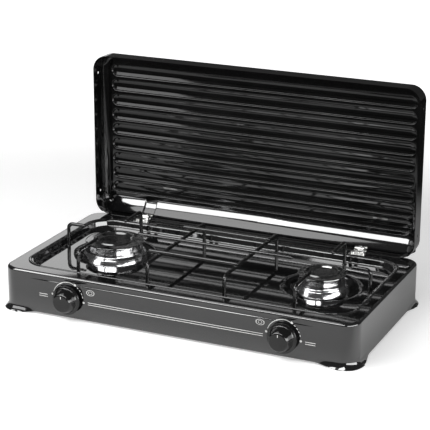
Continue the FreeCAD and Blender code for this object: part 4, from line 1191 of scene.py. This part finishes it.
@dataclass
class Lid:
    """The open lid: one deep sheet with long ribs pressed outward, holes in its sides and hinge notches."""

    finishes: Finishes
    width: float = 486.0
    depth: float = 236.0
    height: float = 32.0
    corner: float = 21.0
    edge: float = 9.0
    rear_edge: float = 15.0
    back_y: float = 128.0
    rim_z: float = 60.5
    sheet: float = 1.0
    ribs: int = 9
    pitch: float = 21.81
    last_rib: float = 93.0
    rib_width: float = 18.0
    rib_step: float = 1.9
    rib_arc: float = 1.25
    rib_fold: float = 0.14
    rib_faces: int = 36
    rib_crest: float = 0.90
    rib_rings: tuple[float, ...] = (0.975, 0.95, 0.925, 0.90, 0.87, 0.80, 0.68, 0.54, 0.38, 0.20)
    margin: float = 12.5
    hole_radius: float = 2.0
    hole_shares: tuple[float, float] = (0.13, 0.88)
    hole_up: float = 0.42
    hinge: tuple[float, float, float] = (165.0, 124.5, 64.5)
    notch: tuple[float, float] = (9.0, 8.5)
    rear_trim: float = 2.2
    strip_corner: tuple[float, float] = (151.4, 62.4)
    strip_top: float = 83.2
    strip_end: float = 236.0
    strip_notch: tuple[float, float] = (-177.0, -157.0)
    strip_taper: tuple[tuple[float, float], ...] = ((0, 0.15), (2, 0.55), (6, 0.85), (12, 1.0))
    edge_steps: int = 10

    def strip(self) -> bpy.types.Object:
        """Build the pressed strip along the lid's rear edge: a steep face above a gentler one.

        Returns:
            The finished piece.
        """
        s = Shape()
        y, z = self.strip_corner[0], self.strip_top
        outline = [(y, z)]
        faces = [(1.2, 6), (1.2, 18)] + [(2.6, 27 + 2 * k) for k in range(4)] + [(1.5, 42)]
        faces += [(2.6, 44 + 2 * k) for k in range(5)] + [(1.5, 70), (1.0, 86)]
        for length, tilt in faces:
            y -= length * math.sin(math.radians(tilt))
            z -= length * math.cos(math.radians(tilt))
            outline.append((y, max(z, self.strip_corner[1])))
        outline.append(self.strip_corner)
        end = s.corners([(-self.strip_end, y, z) for y, z in outline])
        low, high = self.strip_notch
        stations = [(inset - self.strip_end, size) for inset, size in self.strip_taper]
        stations += [(low, 1.0), (low + 2, 0.8), (high - 2, 0.8), (high, 1.0)]
        stations += [(self.strip_end - inset, size) for inset, size in reversed(self.strip_taper)]
        self._shrink(end.verts, stations[0][1])
        loop = list(end.edges)
        for (x0, size0), (x1, size1) in zip(stations, stations[1:]):
            loop = s.extrude_edges(loop, (x1 - x0, 0, 0))
            self._shrink({v for e in loop for v in e.verts}, size1 / size0)
        bmesh.ops.contextual_create(s.bm, geom=loop)
        bmesh.ops.recalc_face_normals(s.bm, faces=s.bm.faces[:])
        piece = s.finish("lid_rear_strip", [self.finishes.get(LID_STRIP)], 24.0)
        return mount(piece, "lid", "black_enamel")

    def _shrink(self, corners: Iterable[bmesh.types.BMVert], share: float) -> None:
        """Draw corners of the strip's outline towards the inside of the lid's rear corner."""
        y, z = self.strip_corner
        for v in corners:
            v.co.y = y + (v.co.y - y) * share
            v.co.z = z + (v.co.z - z) * share

    def build(self) -> bpy.types.Object:
        """Build the lid shut, cut it, swing it open and dress it.

        Returns:
            The finished piece.
        """
        s = Shape()
        middle = self.back_y - self.depth / 2
        top = self.rim_z + self.height
        size = (self.width - 2 * self.edge, self.depth - 2 * self.edge)
        panel = s.rounded(size[0], size[1], self.corner - self.edge, middle, top)
        loop = list(panel.edges)
        s.bm.faces.remove(panel)
        self._round(loop, 0.0, middle, top)
        outlines = []
        for i in range(self.ribs):
            outlines += self._rib(s, self.last_rib - self.pitch * i, top)
        bmesh.ops.triangle_fill(s.bm, edges=loop + outlines, use_beauty=True, use_dissolve=False, normal=UP)
        for k in range(1, self.edge_steps + 1):
            loop = s.extrude_edges(loop)
            self._round(loop, math.pi / 2 * k / self.edge_steps, middle, top)
        loop = s.extrude_edges(loop)
        for v in {v for e in loop for v in e.verts}:
            v.co.z = self.rim_z
        bmesh.ops.recalc_face_normals(s.bm, faces=s.bm.faces[:])
        if sum(f.normal.z * f.calc_area() for f in s.bm.faces) < 0:
            bmesh.ops.reverse_faces(s.bm, faces=s.bm.faces[:])
        # the sheet takes the darker copy of the enamel, painted shade on the lid
        piece = s.finish("lid_sheet", [self.finishes.get(LID_SHADED_ENAMEL)], 50.0, recalculate=False)
        thicken(piece, self.sheet, False)
        self._carve(piece)
        pivot = Matrix.Translation(at(0, self.hinge[1], self.hinge[2]))
        piece.data.transform(pivot @ Matrix.Rotation(-math.pi / 2, 4, "X") @ pivot.inverted())
        even_normals(piece)
        return mount(piece, "lid", "black_enamel", "lid_panel")

    def _round(self, loop: Sequence[bmesh.types.BMEdge], angle: float, middle: float, top: float) -> None:
        """Put a loop at its place on the rounded edge, which is wider along the rear.

        Args:
            loop: The loop's edges.
            angle: How far over the edge it lies.
            middle: The lid's middle along Y.
            top: Height of the panel.
        """
        for v in {v for e in loop for v in e.verts}:
            heart = Vector((math.copysign(self.width / 2 - self.corner, v.co.x),
                            middle + math.copysign(self.depth / 2 - self.corner, v.co.y - middle)))
            out = (v.co.xy - heart).normalized()
            radius = self.edge + (self.rear_edge - self.edge) * max(0.0, out.y) ** 2
            v.co.xy = heart + out * (self.corner - radius * (1 - math.sin(angle)))
            v.co.z = top - radius * (1 - math.cos(angle))

    def _rib(self, s: Shape, y: float, z: float) -> list:
        """Add one rib as rings that climb inward from a long round-ended outline.

        Args:
            s: The shape.
            y: The rib's middle.
            z: Height of the panel.

        Returns:
            The outline's edges on the panel.
        """
        half = self.rib_width / 2
        end = self.width / 2 - self.margin - half
        turn = Matrix.Translation((0, y, z)) @ Matrix.Rotation(math.pi / self.rib_faces, 4, "Z")
        ring = bmesh.ops.create_circle(s.bm, cap_ends=False, segments=self.rib_faces, radius=half,
                                       matrix=turn)["verts"]
        for v in ring:
            v.co.x += math.copysign(end, v.co.x)
        outline = list({e for v in ring for e in v.link_edges})
        loop, reach = outline, half
        for share in self.rib_rings:
            loop = s.extrude_edges(loop)
            fold = min(1.0, (1 - share) / self.rib_fold)
            arc = max(0.0, 1 - (share / self.rib_crest) ** 2)
            climb = self.rib_step * fold * fold * (3 - 2 * fold) + self.rib_arc * arc
            for v in {v for e in loop for v in e.verts}:
                heart = Vector((max(-end, min(end, v.co.x)), y, 0))
                flat = Vector((v.co.x, v.co.y, 0))
                v.co.xy = (heart + (flat - heart) * (share * half / reach)).xy
                v.co.z = z + climb
            reach = share * half
        bmesh.ops.triangle_fill(s.bm, edges=loop, use_beauty=True, use_dissolve=False, normal=UP)
        return outline

    def _carve(self, piece: bpy.types.Object) -> None:
        """Cut the side holes, the hinge notches and the shorter rear edge out of the shut lid."""
        tools = Shape()
        for share in self.hole_shares:
            y = self.back_y - self.depth * share
            z = self.rim_z + self.height * self.hole_up
            for side in Side:
                turn = Matrix.Translation((side.value * self.width / 2, y, z)) @ Matrix.Rotation(math.pi / 2, 4, "Y")
                bmesh.ops.create_cone(tools.bm, cap_ends=True, segments=24, radius1=self.hole_radius,
                                      radius2=self.hole_radius, depth=12, matrix=turn)
        for side in Side:
            box = Matrix.Translation((side.value * self.hinge[0], self.back_y, self.rim_z)) @ Matrix.Diagonal(
                (2 * self.notch[0], 12, 2 * self.notch[1], 1))
            bmesh.ops.create_cube(tools.bm, size=1.0, matrix=box)
        cutter = tools.finish("lid_cutter", [], 30.0)
        strip = Shape()
        lower = self.rim_z + self.rear_trim
        bmesh.ops.create_cube(strip.bm, size=1.0, matrix=Matrix.Translation((0, self.hinge[1] + 10, lower - 5))
                              @ Matrix.Diagonal((self.width + 20, 20, 10, 1)))
        edge = strip.finish("lid_edge_cutter", [], 30.0)
        for tool in (cutter, edge):
            cut = piece.modifiers.new("cut", "BOOLEAN")
            cut.operation = "DIFFERENCE"
            cut.solver = "EXACT"
            cut.object = tool
        depsgraph = bpy.context.evaluated_depsgraph_get()
        solid = bpy.data.meshes.new_from_object(piece.evaluated_get(depsgraph))
        piece.modifiers.clear()
        old = piece.data
        piece.data = solid
        bpy.data.meshes.remove(old)
        for tool in (cutter, edge):
            bpy.data.objects.remove(tool)


# Small parts that keep their solids


@dataclass
class Fittings:
    """The hinges, the gas train, the screws and the rubber parts, each in its own finish."""

    finishes: Finishes

    def build(self) -> None:
        """Dress every solid that keeps its shape."""
        plain = {"gas_rail": STEEL, "inlet_pipe": STEEL, "inlet_nut": ZINC, "hose_nozzle": BRASS,
                 "support_nuts": ZINC,
                 "hinge_rivets": ZINC, "hinge_screws": ZINC, "hinge_pins": STEEL, "burner_screws": ZINC,
                 "rail_bracket_left": ZINC, "rail_bracket_right": ZINC, "foot_trims": RUBBER, "panel_bushes": RUBBER}
        for side in Side:
            word = side.word
            plain.update({f"{word}_mixing_tube": CAST, f"{word}_gas_jet": BRASS,
                          f"{word}_valve_body": CAST, f"{word}_valve_bonnet": ZINC, f"{word}_valve_plug": BRASS,
                          f"{word}_valve_spring": ZINC, f"{word}_knob_stem": STEEL, f"{word}_hinge_bracket": ZINC,
                          f"{word}_hinge_leaf": ZINC})
        for node, finish in plain.items():
            dress(node, self.finishes.get(finish))


# Studio


@dataclass(frozen=True)
class SoftBox:
    """One soft lamp: where it hangs and points, in millimetres, its size in metres and how bright it looks."""

    name: str
    place: tuple[float, float, float]
    size: tuple[float, float]
    glow: float
    target: tuple[float, float, float] = (0.0, 0.0, 60.0)


@dataclass
class Studio:
    """A floor and surround that the camera sees white and reflections see dark, soft lamps and the camera."""

    azimuth: float = 24.30
    elevation: float = 18.42
    roll: float = 0.23
    focal_pixels: float = 1565.1
    frame_pixels: float = 430.0
    camera_place: tuple[float, float, float] = (815.1, -1798.6, 785.2)
    floor_colour: Colour = (0.82, 0.82, 0.82)
    floor_glow: float = 0.42
    glow_reach: tuple[float, float] = (0.45, 1.1)
    floor_radius: float = 6000.0
    front_dim: float = 0.34
    front_reach: tuple[float, float] = (0.20, 0.30)
    far_floor: Colour = (0.03, 0.03, 0.03)
    bright_middle: tuple[float, float, float] = (0.0, 100.0, 0.0)
    bright_reach: tuple[float, float] = (0.42, 0.62)
    surround: float = 0.06
    boxes: tuple[SoftBox, ...] = (
        SoftBox("front_left_box", (-640, -800, 870), (0.8, 0.38), 8.0),
        SoftBox("front_box", (20, -1040, 1060), (0.9, 0.38), 8.0),
        SoftBox("low_card", (-850, -880, 400), (0.50, 0.34), 2.6),
        SoftBox("right_box", (2300, -940, 520), (3.4, 1.0), 5.5),
        SoftBox("top_box", (-700, -330, 1800), (1.3, 1.0), 1.9, (0.0, 60.0, 60.0)),
        SoftBox("back_card", (-690, 700, 355), (0.5, 0.17), 1.0))

    def build(self) -> None:
        """Build the floor, the world, the lamps and the camera."""
        self._floor()
        self._world()
        for box in self.boxes:
            self._lamp(box)
        self._camera()
        bpy.context.scene.view_settings.view_transform = "Standard"

    def _camera(self) -> None:
        """Set the camera as it stood for the photograph."""
        data = bpy.data.cameras.new("camera")
        data.sensor_width = 36.0
        data.lens = self.focal_pixels / self.frame_pixels * data.sensor_width
        data.clip_end = 20.0
        camera = bpy.data.objects.new("camera", data)
        az, el, roll = (math.radians(v) for v in (self.azimuth, self.elevation, self.roll))
        ahead = Vector((-math.sin(az) * math.cos(el), math.cos(az) * math.cos(el), -math.sin(el)))
        right = Vector((math.cos(az), math.sin(az), 0))
        up = right.cross(ahead)
        turned_right = right * math.cos(roll) + up * math.sin(roll)
        turned_up = up * math.cos(roll) - right * math.sin(roll)
        turn = Matrix((turned_right, turned_up, -ahead)).transposed().to_4x4()
        camera.matrix_world = Matrix.Translation(at(*self.camera_place)) @ turn
        bpy.context.scene.collection.objects.link(camera)
        bpy.context.scene.camera = camera

    def _floor(self) -> None:
        """A wide floor: white to the camera; in reflections dimmer in front of the stove and dark far from it."""
        s = Shape()
        bmesh.ops.create_circle(s.bm, cap_ends=True, segments=96, radius=self.floor_radius)
        g = Graph("white_floor")
        g.set(Base_Color=self.floor_colour, Roughness=0.8)
        rays = g.node("ShaderNodeLightPath")
        camera = Signal(g, rays.outputs["Is Camera Ray"])
        glossy = Signal(g, rays.outputs["Is Glossy Ray"])
        dark = g.node("ShaderNodeBsdfDiffuse", {}, {"Color": self.far_floor})
        x, y, _ = g.axes(g.place(at(*self.bright_middle)))
        away = (x * x * 0.5 + y * y) ** 0.5
        lift = away.ramp(*self.glow_reach) * (1.0 - self.floor_glow) + self.floor_glow
        glow = g.node("ShaderNodeEmission", {}, {"Color": (1.0, 1.0, 1.0), "Strength": camera * lift})
        both = g.node("ShaderNodeAddShader", {}, [g.shader.outputs[0], glow.outputs[0]])
        before = (y * -1.0).ramp(*self.front_reach) * self.front_dim
        far = glossy * away.ramp(*self.bright_reach).maximum(before)
        mixed = g.node("ShaderNodeMixShader", {}, [far, both.outputs[0], dark.outputs[0]])
        g.tree.links.new(mixed.outputs[0], g.output.inputs[0])
        floor = s.finish("floor", [g.material], 30.0)

    def _world(self) -> None:
        """White to the camera, and dimmer as light and in reflections."""
        world = bpy.data.worlds.new("studio")
        world.use_nodes = True
        bpy.context.scene.world = world
        tree = world.node_tree
        tree.nodes.clear()
        output = tree.nodes.new("ShaderNodeOutputWorld")
        background = tree.nodes.new("ShaderNodeBackground")
        rays = tree.nodes.new("ShaderNodeLightPath")
        seen = tree.nodes.new("ShaderNodeMath")
        seen.operation = "MULTIPLY_ADD"
        seen.inputs[1].default_value = 1.0 - self.surround
        seen.inputs[2].default_value = self.surround
        tree.links.new(rays.outputs["Is Camera Ray"], seen.inputs[0])
        tree.links.new(seen.outputs[0], background.inputs["Strength"])
        background.inputs["Color"].default_value = (1, 1, 1, 1)
        tree.links.new(background.outputs[0], output.inputs[0])

    def _lamp(self, box: SoftBox) -> None:
        """Hang one soft box, out of the camera's sight."""
        data = bpy.data.lights.new(box.name, "AREA")
        data.shape = "RECTANGLE"
        data.size, data.size_y = box.size
        data.energy = box.glow * math.pi * box.size[0] * box.size[1]
        lamp = bpy.data.objects.new(box.name, data)
        start, end = at(*box.place), at(*box.target)
        lamp.matrix_world = Matrix.Translation(start) @ (end - start).to_track_quat("-Z", "Y").to_matrix().to_4x4()
        lamp.visible_camera = False
        bpy.context.scene.collection.objects.link(lamp)


def main() -> None:
    """Build every piece of the stove in order, then the studio."""
    logging.basicConfig(level=logging.INFO, format="%(name)s: %(message)s")
    finishes = Finishes()
    body = Body(finishes)
    body.build()
    FrontPrint(finishes, body).build()
    Burner(finishes, Side.LEFT, -149.5, 38.0, 46.0, 39.0, 40.4, 27.0, 21.0, 60).build()
    Burner(finishes, Side.RIGHT, 155.5, 33.0, 36.5, 31.0, 32.0, 22.5, 17.5, 48).build()
    PanSupports(finishes).build()
    Knob(finishes, Side.LEFT, -149.5).build()
    Knob(finishes, Side.RIGHT, 155.5).build()
    lid = Lid(finishes)
    lid.build()
    lid.strip()
    Fittings(finishes).build()
    Studio().build()


if __name__ == "__main__":
    main()
